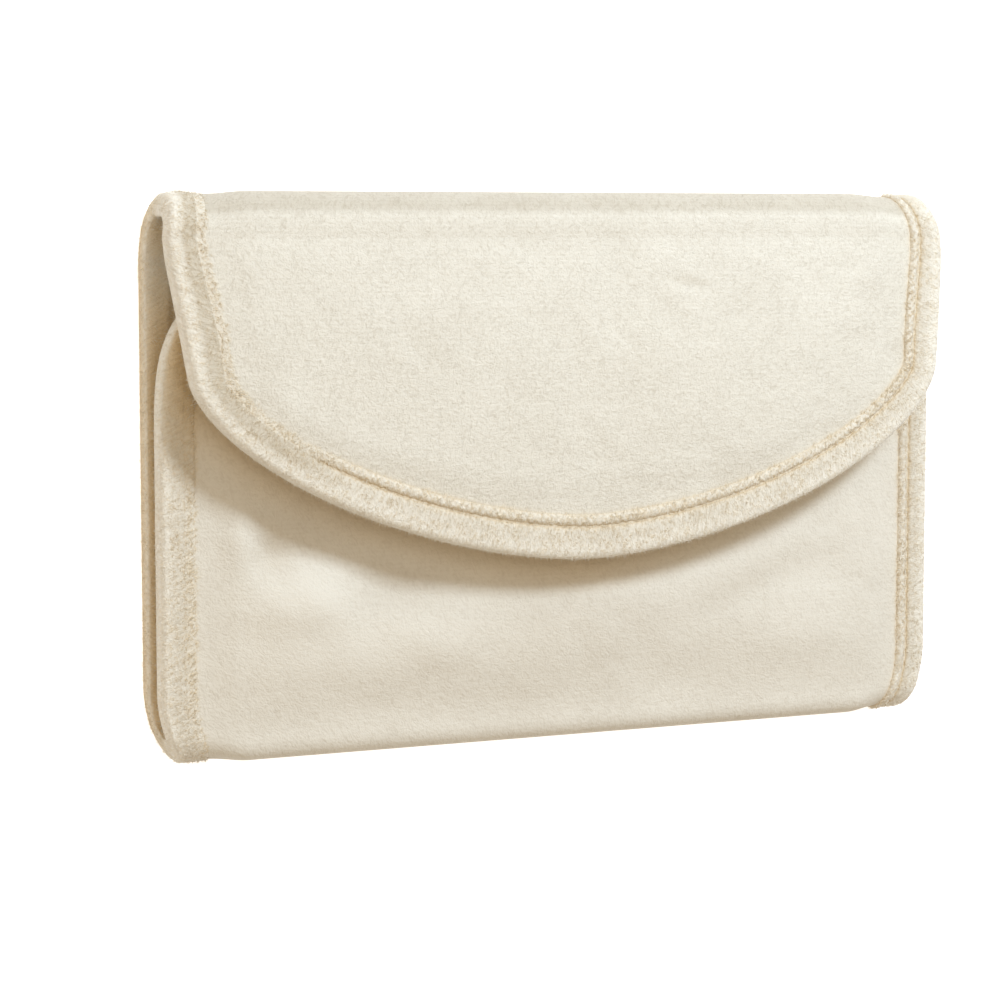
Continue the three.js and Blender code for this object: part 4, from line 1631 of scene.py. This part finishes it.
    def build_stitches(self) -> bpy.types.Object:
        """Make the stitches on both faces of the tape.

        Returns:
            One object that holds every stitch.
        """
        line = self.line
        along = np.linspace(-1.0, 1.0, self.STITCH_RINGS)
        girth = np.linspace(0.0, 2.0 * math.pi, self.STITCH_SIDES, endpoint=False)
        radius = self.stitch_radius * np.sqrt(1.0 - self.STITCH_TAPER * along**2)
        points: list[Array] = []
        faces: list[list[int]] = []
        for face_depth, sink in ((self.STITCH_DEPTH, 1.0), (BINDING_DEPTH - self.STITCH_DEPTH, -1.0)):
            depth = np.full((len(line.run), 1), face_depth)
            thread = self.shape.on_edge(line, self.stitch_inset + self.widened, depth)[:, 0]
            length = lengths_along(thread)
            for centre in np.arange(self.stitch_pitch, length[-1] - self.stitch_pitch, self.stitch_pitch):
                places = centre + along * self.stitch_length / 2.0
                core, normal = (rows_at(places, length, rows) for rows in (thread, line.normal))
                core = core - normal * (sink * self.STITCH_ARCH * along**2)[:, None]
                tangent = core[-1] - core[0]
                upward = normal[len(along) // 2]
                beside = np.cross(tangent / np.linalg.norm(tangent), upward)
                ring = np.cos(girth)[:, None] * upward + np.sin(girth)[:, None] * beside
                rings = core[:, None, :] + radius[:, None, None] * ring[None]
                faces += MeshKit.ring_faces(len(along), len(girth), sum(map(len, points)))
                points.append(rings.reshape(-1, 3))
        corners = np.concatenate(points)
        stitches = MeshKit.make(f"{self.name}_stitches", corners, faces, corners[:, :2])
        return self.shape.bend(stitches, BINDING_DEPTH)


@dataclass
class RingBar:
    """The stuffed bar that holds rings, with a flat tab at each end.

    Attributes:
        finishes: The roll's materials.
        rings: Rings along the bar.
        girth: Points round the bar.
        squareness: Exponent of its rounded ends.
        gather: Depth of the gathers along it, as a share of its radius.
        gather_turn: How fast they follow each other, in radians over half of its length.
        tip: Radius of its end caps, as a share of its radius.
        tab_wave: Height of the waves in its tabs.
        tab_points: Points along and across a tab.
        snap_bevel: Width of the snap's rounded edges.
    """

    finishes: Finishes
    rings: int = 90
    girth: int = 28
    squareness: float = 9.0
    gather: float = 0.03
    gather_turn: float = 55.0
    tip: float = 0.05
    tab_wave: float = 0.00008
    tab_points: tuple[int, int] = (30, 18)
    snap_bevel: float = 0.0004

    def build(self) -> None:
        """Make the bar and its two tabs, and dress the snap."""
        low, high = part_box("ring_bar")
        centre, half = (low + high) / 2.0, (high - low) / 2.0
        along = np.sin(np.linspace(-math.pi / 2.0, math.pi / 2.0, self.rings))
        angle = np.linspace(0.0, 2.0 * math.pi, self.girth, endpoint=False)
        radius = np.maximum(1.0 - np.abs(along) ** self.squareness, 0.0) ** (1.0 / self.squareness)
        gathered = 1.0 - self.gather + self.gather * np.cos(along * self.gather_turn)
        radius = np.maximum(radius * gathered, self.tip)
        x = np.tile(centre.x + half.x * along[:, None], (1, self.girth))
        y = centre.y + half.y * radius[:, None] * np.cos(angle)
        z = centre.z + half.z * radius[:, None] * np.sin(angle)
        uv = np.stack([x, np.tile(angle * half.y, (self.rings, 1))], axis=-1)
        bar = MeshKit.sweep("ring_bar_roll", np.stack([x, y, z], axis=-1), uv)
        dress(bar, self.finishes.velvet, "velvet", "ring_bar")
        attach(bar, "back_panel")
        for node in ("ring_bar_sewn_tab", "ring_bar_snap_tab"):
            strap = cloth_strip(f"{node}_strap", *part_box(node), self.tab_wave, self.tab_points)
            dress(strap, self.finishes.velvet, "velvet", node)
            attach(strap, "back_panel")
        for node in ("ring_bar_snap_base", "ring_bar_snap_cap"):
            dress_metal(node, self.finishes.metal, self.snap_bevel)


def cloth_strip(name: str, low: Vector, high: Vector, wave: float,
                points: tuple[int, int]) -> bpy.types.Object:
    """Make a flat strip of cloth with softened edges and a slight wave.

    Args:
        name: Name of the piece.
        low: Lowest corner of its box.
        high: Highest corner of its box.
        wave: Height of the wave.
        points: Points along X and Y.

    Returns:
        The new object.
    """
    x, y = box_grid(low, high, points)
    thickness = high.z - low.z
    edge = np.minimum(np.minimum(x - low.x, high.x - x), np.minimum(y - low.y, high.y - y))
    soften = STRIP_ROUNDING * thickness * (1.0 - smooth(edge / (STRIP_EDGE * thickness)))
    wavy = wave * ripple(x, y, STRIP_WAVE, STRIP_SEED)
    return MeshKit.lying(name, x, y, high.z - soften + wavy, low.z + soften + wavy)


def dress_metal(node: str, metal: bpy.types.Material, bevel: float) -> None:
    """Give a metal frame node rounded edges and its finish.

    Args:
        node: Name of the frame node.
        metal: Its material.
        bevel: Width of the rounded edges.
    """
    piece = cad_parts[node]
    rounding = piece.modifiers.new("rounded_edges", "BEVEL")
    rounding.width = bevel
    rounding.segments = BEVEL_STEPS
    rounding.limit_method = "ANGLE"
    dress(piece, metal, "metal")


@dataclass
class ZipPocket:
    """The zip pocket on the back panel's lining.

    Attributes:
        finishes: The roll's materials.
        hem: Width of the hem that is sewn down.
        slope: Length over which the cloth rises.
        cloth: Thickness of the cloth.
        coil_pitch: Distance between the coil's turns.
        coil_wire: Radius of the coil's wire.
        coil_steps: Points along each turn of the coil.
        wire_sides: Points round the wire.
        wave: Height of the waves in the cloth.
        wavelength: Rough distance between them.
        wave_seed: Which noise they take.
        cloth_points: Points along and across each cloth.
        tape_points: Points along and across each tape.
        bevel: Width of the metal's rounded edges.
    """

    finishes: Finishes
    hem: float = 0.004
    slope: float = 0.006
    cloth: float = 0.0006
    coil_pitch: float = 0.0015
    coil_wire: float = 0.00026
    coil_steps: int = 10
    wire_sides: int = 5
    wave: float = 0.00012
    wavelength: float = 0.018
    wave_seed: float = 4.0
    cloth_points: tuple[int, int] = (110, 36)
    tape_points: tuple[int, int] = (120, 14)
    bevel: float = 0.0002

    def build(self) -> None:
        """Make the pocket's cloth, the zip's tapes and coils, and dress its metal."""
        for node, zip_above in (("pocket_panel", True), ("pocket_facing", False)):
            self.build_cloth(node, zip_above)
        for end in ("lower", "upper"):
            self.build_tape(f"zip_tape_{end}")
            self.build_coil(f"zip_coil_{end}")
        for node in ("zip_stop_left", "zip_stop_right", "zip_slider", "zip_pull"):
            dress_metal(node, self.finishes.metal, self.bevel)

    def build_tape(self, node: str) -> None:
        """Make one tape of the zip, sewn under the pocket's cloth.

        Args:
            node: The frame node that it stands for.
        """
        low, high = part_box(node)
        tape = cloth_strip(f"{node}_strip", low, high, 0.0, self.tape_points)
        dress(tape, self.finishes.tape, "zip_tape", node)
        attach(tape, "back_panel")

    def build_cloth(self, node: str, zip_above: bool) -> None:
        """Make one cloth of the pocket, sewn down on three sides.

        Args:
            node: The frame node that it stands for.
            zip_above: Whether the zip is at its upper side, or else at its lower side.
        """
        low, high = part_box(node)
        x, y = box_grid(low, high, self.cloth_points)
        sewn = y - low.y if zip_above else high.y - y
        side = np.minimum(x - low.x, high.x - x)
        raised = smooth((np.minimum(sewn, side) - self.hem) / self.slope)
        rise = high.z - low.z - self.cloth
        waves = self.wave * raised * ripple(x, y, self.wavelength, self.wave_seed)
        base = low.z + rise * raised + waves
        piece = MeshKit.lying(f"{node}_cloth", x, y, base + self.cloth, base)
        dress(piece, self.finishes.lining, "lining", node)
        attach(piece, "back_panel")

    def build_coil(self, node: str) -> None:
        """Make one coil of the zip as a wound wire.

        Args:
            node: The frame node that it stands for.
        """
        low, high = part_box(node)
        centre, half = (low + high) / 2.0, (high - low) / 2.0
        turns = int((high.x - low.x) / self.coil_pitch)
        angle = np.linspace(0.0, 2.0 * math.pi * turns, turns * self.coil_steps + 1)
        core = np.stack([
            np.linspace(low.x + self.coil_wire, high.x - self.coil_wire, len(angle)),
            centre.y + (half.y - self.coil_wire) * np.cos(angle),
            centre.z + (half.z - self.coil_wire) * np.sin(angle),
        ], axis=-1)
        outward = np.stack([0.0 * angle, np.cos(angle), np.sin(angle)], axis=-1)
        lengthwise = np.tile([1.0, 0.0, 0.0], (len(angle), 1))
        girth = np.linspace(0.0, 2.0 * math.pi, self.wire_sides, endpoint=False)
        cosine, sine = np.cos(girth)[None, :, None], np.sin(girth)[None, :, None]
        ring = cosine * outward[:, None] + sine * lengthwise[:, None]
        rings = core[:, None, :] + self.coil_wire * ring
        coil = MeshKit.sweep(f"{node}_wire", rings, rings[..., :2])
        dress(coil, self.finishes.coil, "zip_coil", node)
        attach(coil, "back_panel")


@dataclass
class SlipPocket:
    """The flat pocket on the front panel's lining, with a hem along its mouth.

    Attributes:
        finishes: The roll's materials.
        front: Form of the front panel.
        gap: Distance between the pocket and the lining.
        cloth: Thickness of the cloth.
        hem: Thickness of the hem.
        points: Points along and across each of them.
    """

    finishes: Finishes
    front: CrownedFront
    gap: float = 0.0004
    cloth: float = 0.0006
    hem: float = 0.0012
    points: tuple[int, int] = (100, 30)

    def build(self) -> None:
        """Make the pocket's cloth and its hem."""
        for node, thickness, slot, material in (
            ("slip_pocket", self.cloth, "lining", self.finishes.lining),
            ("slip_pocket_hem", self.hem, "binding", self.finishes.binding),
        ):
            low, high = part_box(node)
            x, y = box_grid(low, high, self.points)
            under = BOTTOM_DEPTH + self.front(x, y) - PANEL_DEPTH - self.gap
            piece = MeshKit.lying(f"{node}_cloth", x, y, under, under - thickness)
            dress(piece, material, slot, node)
            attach(piece, "front_panel")


# A bulge's sixth number is painted light: painted highlights on most swellings, painted shade in the dents
# and below the flap's tip.
FRONT_BULGES = (
    Bulge(-0.080, -0.034, 0.014, 0.009, 0.0036, -0.25), Bulge(-0.096, -0.016, 0.005, 0.008, 0.0014, -0.1),
    Bulge(-0.089, -0.021, 0.005, 0.006, -0.0014, 0.2), Bulge(-0.075, -0.012, 0.016, 0.008, -0.0004, 0.1),
    Bulge(-0.054, -0.030, 0.011, 0.007, -0.0012, 0.2), Bulge(-0.040, -0.047, 0.016, 0.009, 0.0014, -0.1),
    Bulge(0.004, -0.048, 0.028, 0.012, 0.0012), Bulge(0.004, -0.033, 0.032, 0.010, 0.0018, 0.12),
    Bulge(-0.076, -0.051, 0.024, 0.011, 0.0022, -0.2), Bulge(-0.025, -0.054, 0.030, 0.010, 0.0008),
    Bulge(0.060, -0.036, 0.026, 0.005, -0.0010, 0.14, 18.0), Bulge(0.070, -0.052, 0.024, 0.008, 0.0010),
)
FLAP_BULGES = (
    Bulge(0.032, 0.051, 0.006, 0.0016, -0.0005, 0.1, -12.0), Bulge(0.101, 0.031, 0.005, 0.004, -0.0009, 0.15),
    Bulge(-0.040, 0.034, 0.030, 0.018, 0.0006), Bulge(0.035, 0.036, 0.026, 0.020, 0.0005),
    Bulge(-0.075, 0.020, 0.022, 0.010, -0.0005, 0.0, -35.0), Bulge(0.000, 0.004, 0.030, 0.010, -0.0004),
)


class JewelryRoll:
    """The whole roll: panels, bindings, ring bar and pockets."""

    BOTTOM_SPLIT = 0.0105
    TOP_SPLIT = 0.012
    BACK_RADIUS = 0.010
    INNER_PILE = (12, 28)

    def __init__(self, finishes: Finishes) -> None:
        """Lay out the panels.

        Args:
            finishes: The roll's materials.
        """
        self.finishes = finishes
        self.crown = CrownedFront()
        self.front = PanelShape(
            Fold.BOTTOM, Side.FRONT, radius=0.008, level=BOTTOM_DEPTH, split=self.BOTTOM_SPLIT,
            bodies=("bottom_fold", "front_panel"), lift=self.crown,
            end=RoundedEnd(start=0.005, reach=0.057, squareness=4.0, toward=Fold.TOP))
        self.flap = PanelShape(
            Fold.TOP, Side.FRONT, radius=0.012, level=TOP_DEPTH, split=self.TOP_SPLIT,
            bodies=("top_fold", "flap"), lift=LeaningFlap(), taper=0.14,
            end=RoundedEnd(start=0.027, reach=0.051, squareness=1.72, toward=Fold.BOTTOM))
        self.back_lower = PanelShape(
            Fold.BOTTOM, Side.BACK, radius=self.BACK_RADIUS, level=0.0, split=self.BOTTOM_SPLIT,
            bodies=("bottom_fold", "back_panel"))
        self.back_upper = PanelShape(
            Fold.TOP, Side.BACK, radius=self.BACK_RADIUS, level=0.0, split=self.TOP_SPLIT,
            bodies=("top_fold", "back_panel"))

    def build(self) -> None:
        """Make every piece."""
        self.build_panels()
        self.build_bindings()
        RingBar(self.finishes).build()
        ZipPocket(self.finishes).build()
        SlipPocket(self.finishes, self.crown).build()
        for node in ("front_magnet_strip", "flap_magnet_strip"):
            dress(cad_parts[node], self.finishes.magnet, "magnet")

    def build_panels(self) -> None:
        """Make the velvet faces and the linings."""
        plain, flap = self.finishes.velvet, self.finishes.flap
        for name, finish, skin in (
            ("front", plain, PanelSkin(
                "front_skin", self.front, seed=11.0, puff=0.0002, wave=0.0002, bulges=FRONT_BULGES,
                wrinkle=0.2, fold_nap=0.8, fold_turn=0.78, crease=0.0014, tuck_inset=0.0080)),
            ("flap", flap, PanelSkin(
                "flap_skin", self.flap, seed=23.0, puff=0.0004, wave=0.0004, bulges=FLAP_BULGES,
                wrinkle=0.25, fold_nap=0.65, crease=0.0010, tuck_inset=0.0105)),
            ("back_lower", plain, PanelSkin(
                "back_lower_skin", self.back_lower, seed=31.0, puff=0.0, wave=0.0)),
            ("back_upper", plain, PanelSkin(
                "back_upper_skin", self.back_upper, seed=47.0, puff=0.0, wave=0.0, fold_nap=0.65)),
        ):
            nodes = self.cad_nodes(name)
            face = skin.build()
            dress(face, finish, "velvet", *(f"{n}_{layer}" for n in nodes for layer in ("velvet", "wadding")))
            lining_name = f"{name}_lining" if name.startswith("back") else f"{name}_lining_cloth"
            lining = PanelLining(lining_name, skin.shape, skin.seed).build()
            dress(lining, self.finishes.lining, "lining", *(f"{n}_lining" for n in nodes))

    @staticmethod
    def cad_nodes(name: str) -> tuple[str, str]:
        """First parts of the names of the frame's nodes that a panel covers: its panel and its fold."""
        panel = "back" if name.startswith("back") else name
        return panel, "bottom_fold" if name in ("front", "back_lower") else "top_fold"

    def build_bindings(self) -> None:
        """Make the bindings and their stitches."""
        bindings = {
            "front": EdgeBinding(
                "front_tape", self.front, Hand.LEFT, swell=0.0001, seed=0.0, covered=0.12, cover=0.9),
            "flap": EdgeBinding(
                "flap_tape", self.flap, Hand.LEFT, swell=0.0002, seed=5.0, widening=0.0024, covered=0.085,
                cover=1.0, covered_nap=0.66),
        }
        for name, shape in (("back_lower", self.back_lower), ("back_upper", self.back_upper)):
            for hand in Hand:
                end = f"{name}_{hand.name.lower()}"
                bindings[end] = EdgeBinding(
                    f"{end}_tape", shape, hand, swell=0.0, seed=5.0 * len(bindings), covered=ROLL_HEIGHT,
                    cover=1.0, covered_nap=0.2, pile=self.INNER_PILE)
        for name, binding in bindings.items():
            tape = binding.build()
            dress(tape, self.finishes.binding, "binding", *self.binding_nodes(name))
            dress(binding.build_fuzz(), self.finishes.fuzz, "binding")
            if name in ("front", "flap"):
                dress(binding.build_tufts(), self.finishes.fuzz, "binding")
            dress(binding.build_stitches(), self.finishes.thread, "binding")

    @staticmethod
    def binding_nodes(name: str) -> list[str]:
        """Names of the frame's bindings that a tape stands for.

        Args:
            name: Name of the tape's panel and side.

        Returns:
            The frame's node names.
        """
        if name == "front":
            return ["front_binding", "bottom_fold_binding_left", "bottom_fold_binding_right"]
        if name == "flap":
            return ["flap_binding", "top_fold_binding_left", "top_fold_binding_right"]
        return [f"back_binding_{name.rsplit('_', 1)[1]}"]


@dataclass(frozen=True)
class SoftLight:
    """A soft box aimed at the roll.

    Attributes:
        name: Name of the light.
        place: Where it stands.
        size: Width of the box.
        power: Its power in watts.
        colour: Its colour.
    """

    name: str
    place: tuple[float, float, float]
    size: float
    power: float
    colour: Colour = (1.0, 1.0, 1.0)

    def build(self) -> None:
        """Make the light."""
        data = bpy.data.lights.new(self.name, "AREA")
        data.shape = "SQUARE"
        data.size = self.size
        data.energy = self.power
        data.color = self.colour
        lamp = add_object(self.name, data)
        lamp.location = self.place
        lamp.rotation_euler = (-Vector(self.place)).to_track_quat("-Z", "Y").to_euler()


@dataclass(frozen=True)
class PhotoCamera:
    """A camera above the roll that sees it as the photograph does.

    Attributes:
        place: Where the lens is.
        yaw: Turn to the right in degrees.
        pitch: Turn to the bottom fold in degrees.
        lens: Focal length in millimetres.
        sensor: Width of the picture in the camera, in millimetres.
        nearest: Nearest distance that it sees.
    """

    place: tuple[float, float, float] = (-0.3401, 0.0674, 0.7334)
    yaw: float = 24.1
    pitch: float = 5.52
    lens: float = 102.5
    sensor: float = 36.0
    nearest: float = 0.01

    def build(self) -> None:
        """Make the camera and use it."""
        yaw, pitch = math.radians(self.yaw), math.radians(self.pitch)
        look = Vector((math.sin(yaw) * math.cos(pitch), -math.sin(pitch), -math.cos(yaw) * math.cos(pitch)))
        right = Vector((math.cos(yaw), 0.0, math.sin(yaw)))
        up = right.cross(look)
        data = bpy.data.cameras.new("photo_camera")
        data.lens = self.lens
        data.sensor_width = self.sensor
        data.clip_start = self.nearest
        camera = add_object("photo_camera", data)
        turned = Matrix((right, up, -look)).transposed().to_4x4()
        camera.matrix_world = Matrix.Translation(Vector(self.place)) @ turned
        bpy.context.scene.camera = camera


class Studio:
    """White floor, soft light and camera."""

    FLOOR_SIZE = 6.0
    FLOOR_DROP = 0.0005
    FLOOR_COLOUR = (0.9, 0.9, 0.9, 1.0)
    FLOOR_GLOW = 0.8
    FLOOR_BOUNCE = 0.5
    GLOW_COLOUR = (1.0, 1.0, 1.0, 1.0)
    SKY = 0.42
    SKY_COLOUR = (1.0, 0.80, 0.56, 1.0)
    KEY = SoftLight("key", place=(0.42, 0.76, 0.86), size=0.24, power=13.6, colour=(0.78, 0.89, 1.0))
    FILL = SoftLight("fill", place=(-0.45, 0.05, 1.25), size=1.3, power=5.6, colour=(1.0, 0.90, 0.76))

    def build(self) -> None:
        """Make the studio."""
        self.build_floor()
        self.build_sky()
        for light in (self.KEY, self.FILL):
            light.build()
        PhotoCamera().build()
        bpy.context.scene.view_settings.view_transform = "Standard"
        log.info("built the studio")

    def build_floor(self) -> None:
        """Make the floor: white to the camera and in reflections, dimmer as a light on the roll."""
        half = self.FLOOR_SIZE / 2.0
        mesh = bpy.data.meshes.new("floor")
        corners = [(-half, -half), (half, -half), (half, half), (-half, half)]
        mesh.from_pydata([(x, y, -self.FLOOR_DROP) for x, y in corners], [], [(0, 1, 2, 3)])
        floor = add_object("floor", mesh)
        material, tree, shader = new_material("white_floor")
        path = tree.nodes.new("ShaderNodeLightPath")
        seen: Source = self.FLOOR_BOUNCE
        for ray in ("Is Camera Ray", "Is Glossy Ray", "Is Transmission Ray"):
            seen = math_node(tree, "MAXIMUM", path.outputs[ray], seen)
        glow = math_node(tree, "MULTIPLY", seen, self.FLOOR_GLOW)
        feed(tree, shader, {"Base Color": self.FLOOR_COLOUR, "Roughness": 1.0, "Specular IOR Level": 0.0,
                            "Emission Color": self.GLOW_COLOUR, "Emission Strength": glow})
        mesh.materials.append(material)

    def build_sky(self) -> None:
        """Make an even warm sky."""
        world = bpy.data.worlds.new("warm_sky")
        bpy.context.scene.world = world
        world.use_nodes = True
        sky = world.node_tree.nodes["Background"]
        sky.inputs["Color"].default_value = self.SKY_COLOUR
        sky.inputs["Strength"].default_value = self.SKY


def main() -> None:
    """Build the roll and its studio."""
    logging.basicConfig(level=logging.INFO, format="%(message)s")
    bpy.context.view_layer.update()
    JewelryRoll(Finishes()).build()
    Studio().build()


if __name__ == "__main__":
    main()
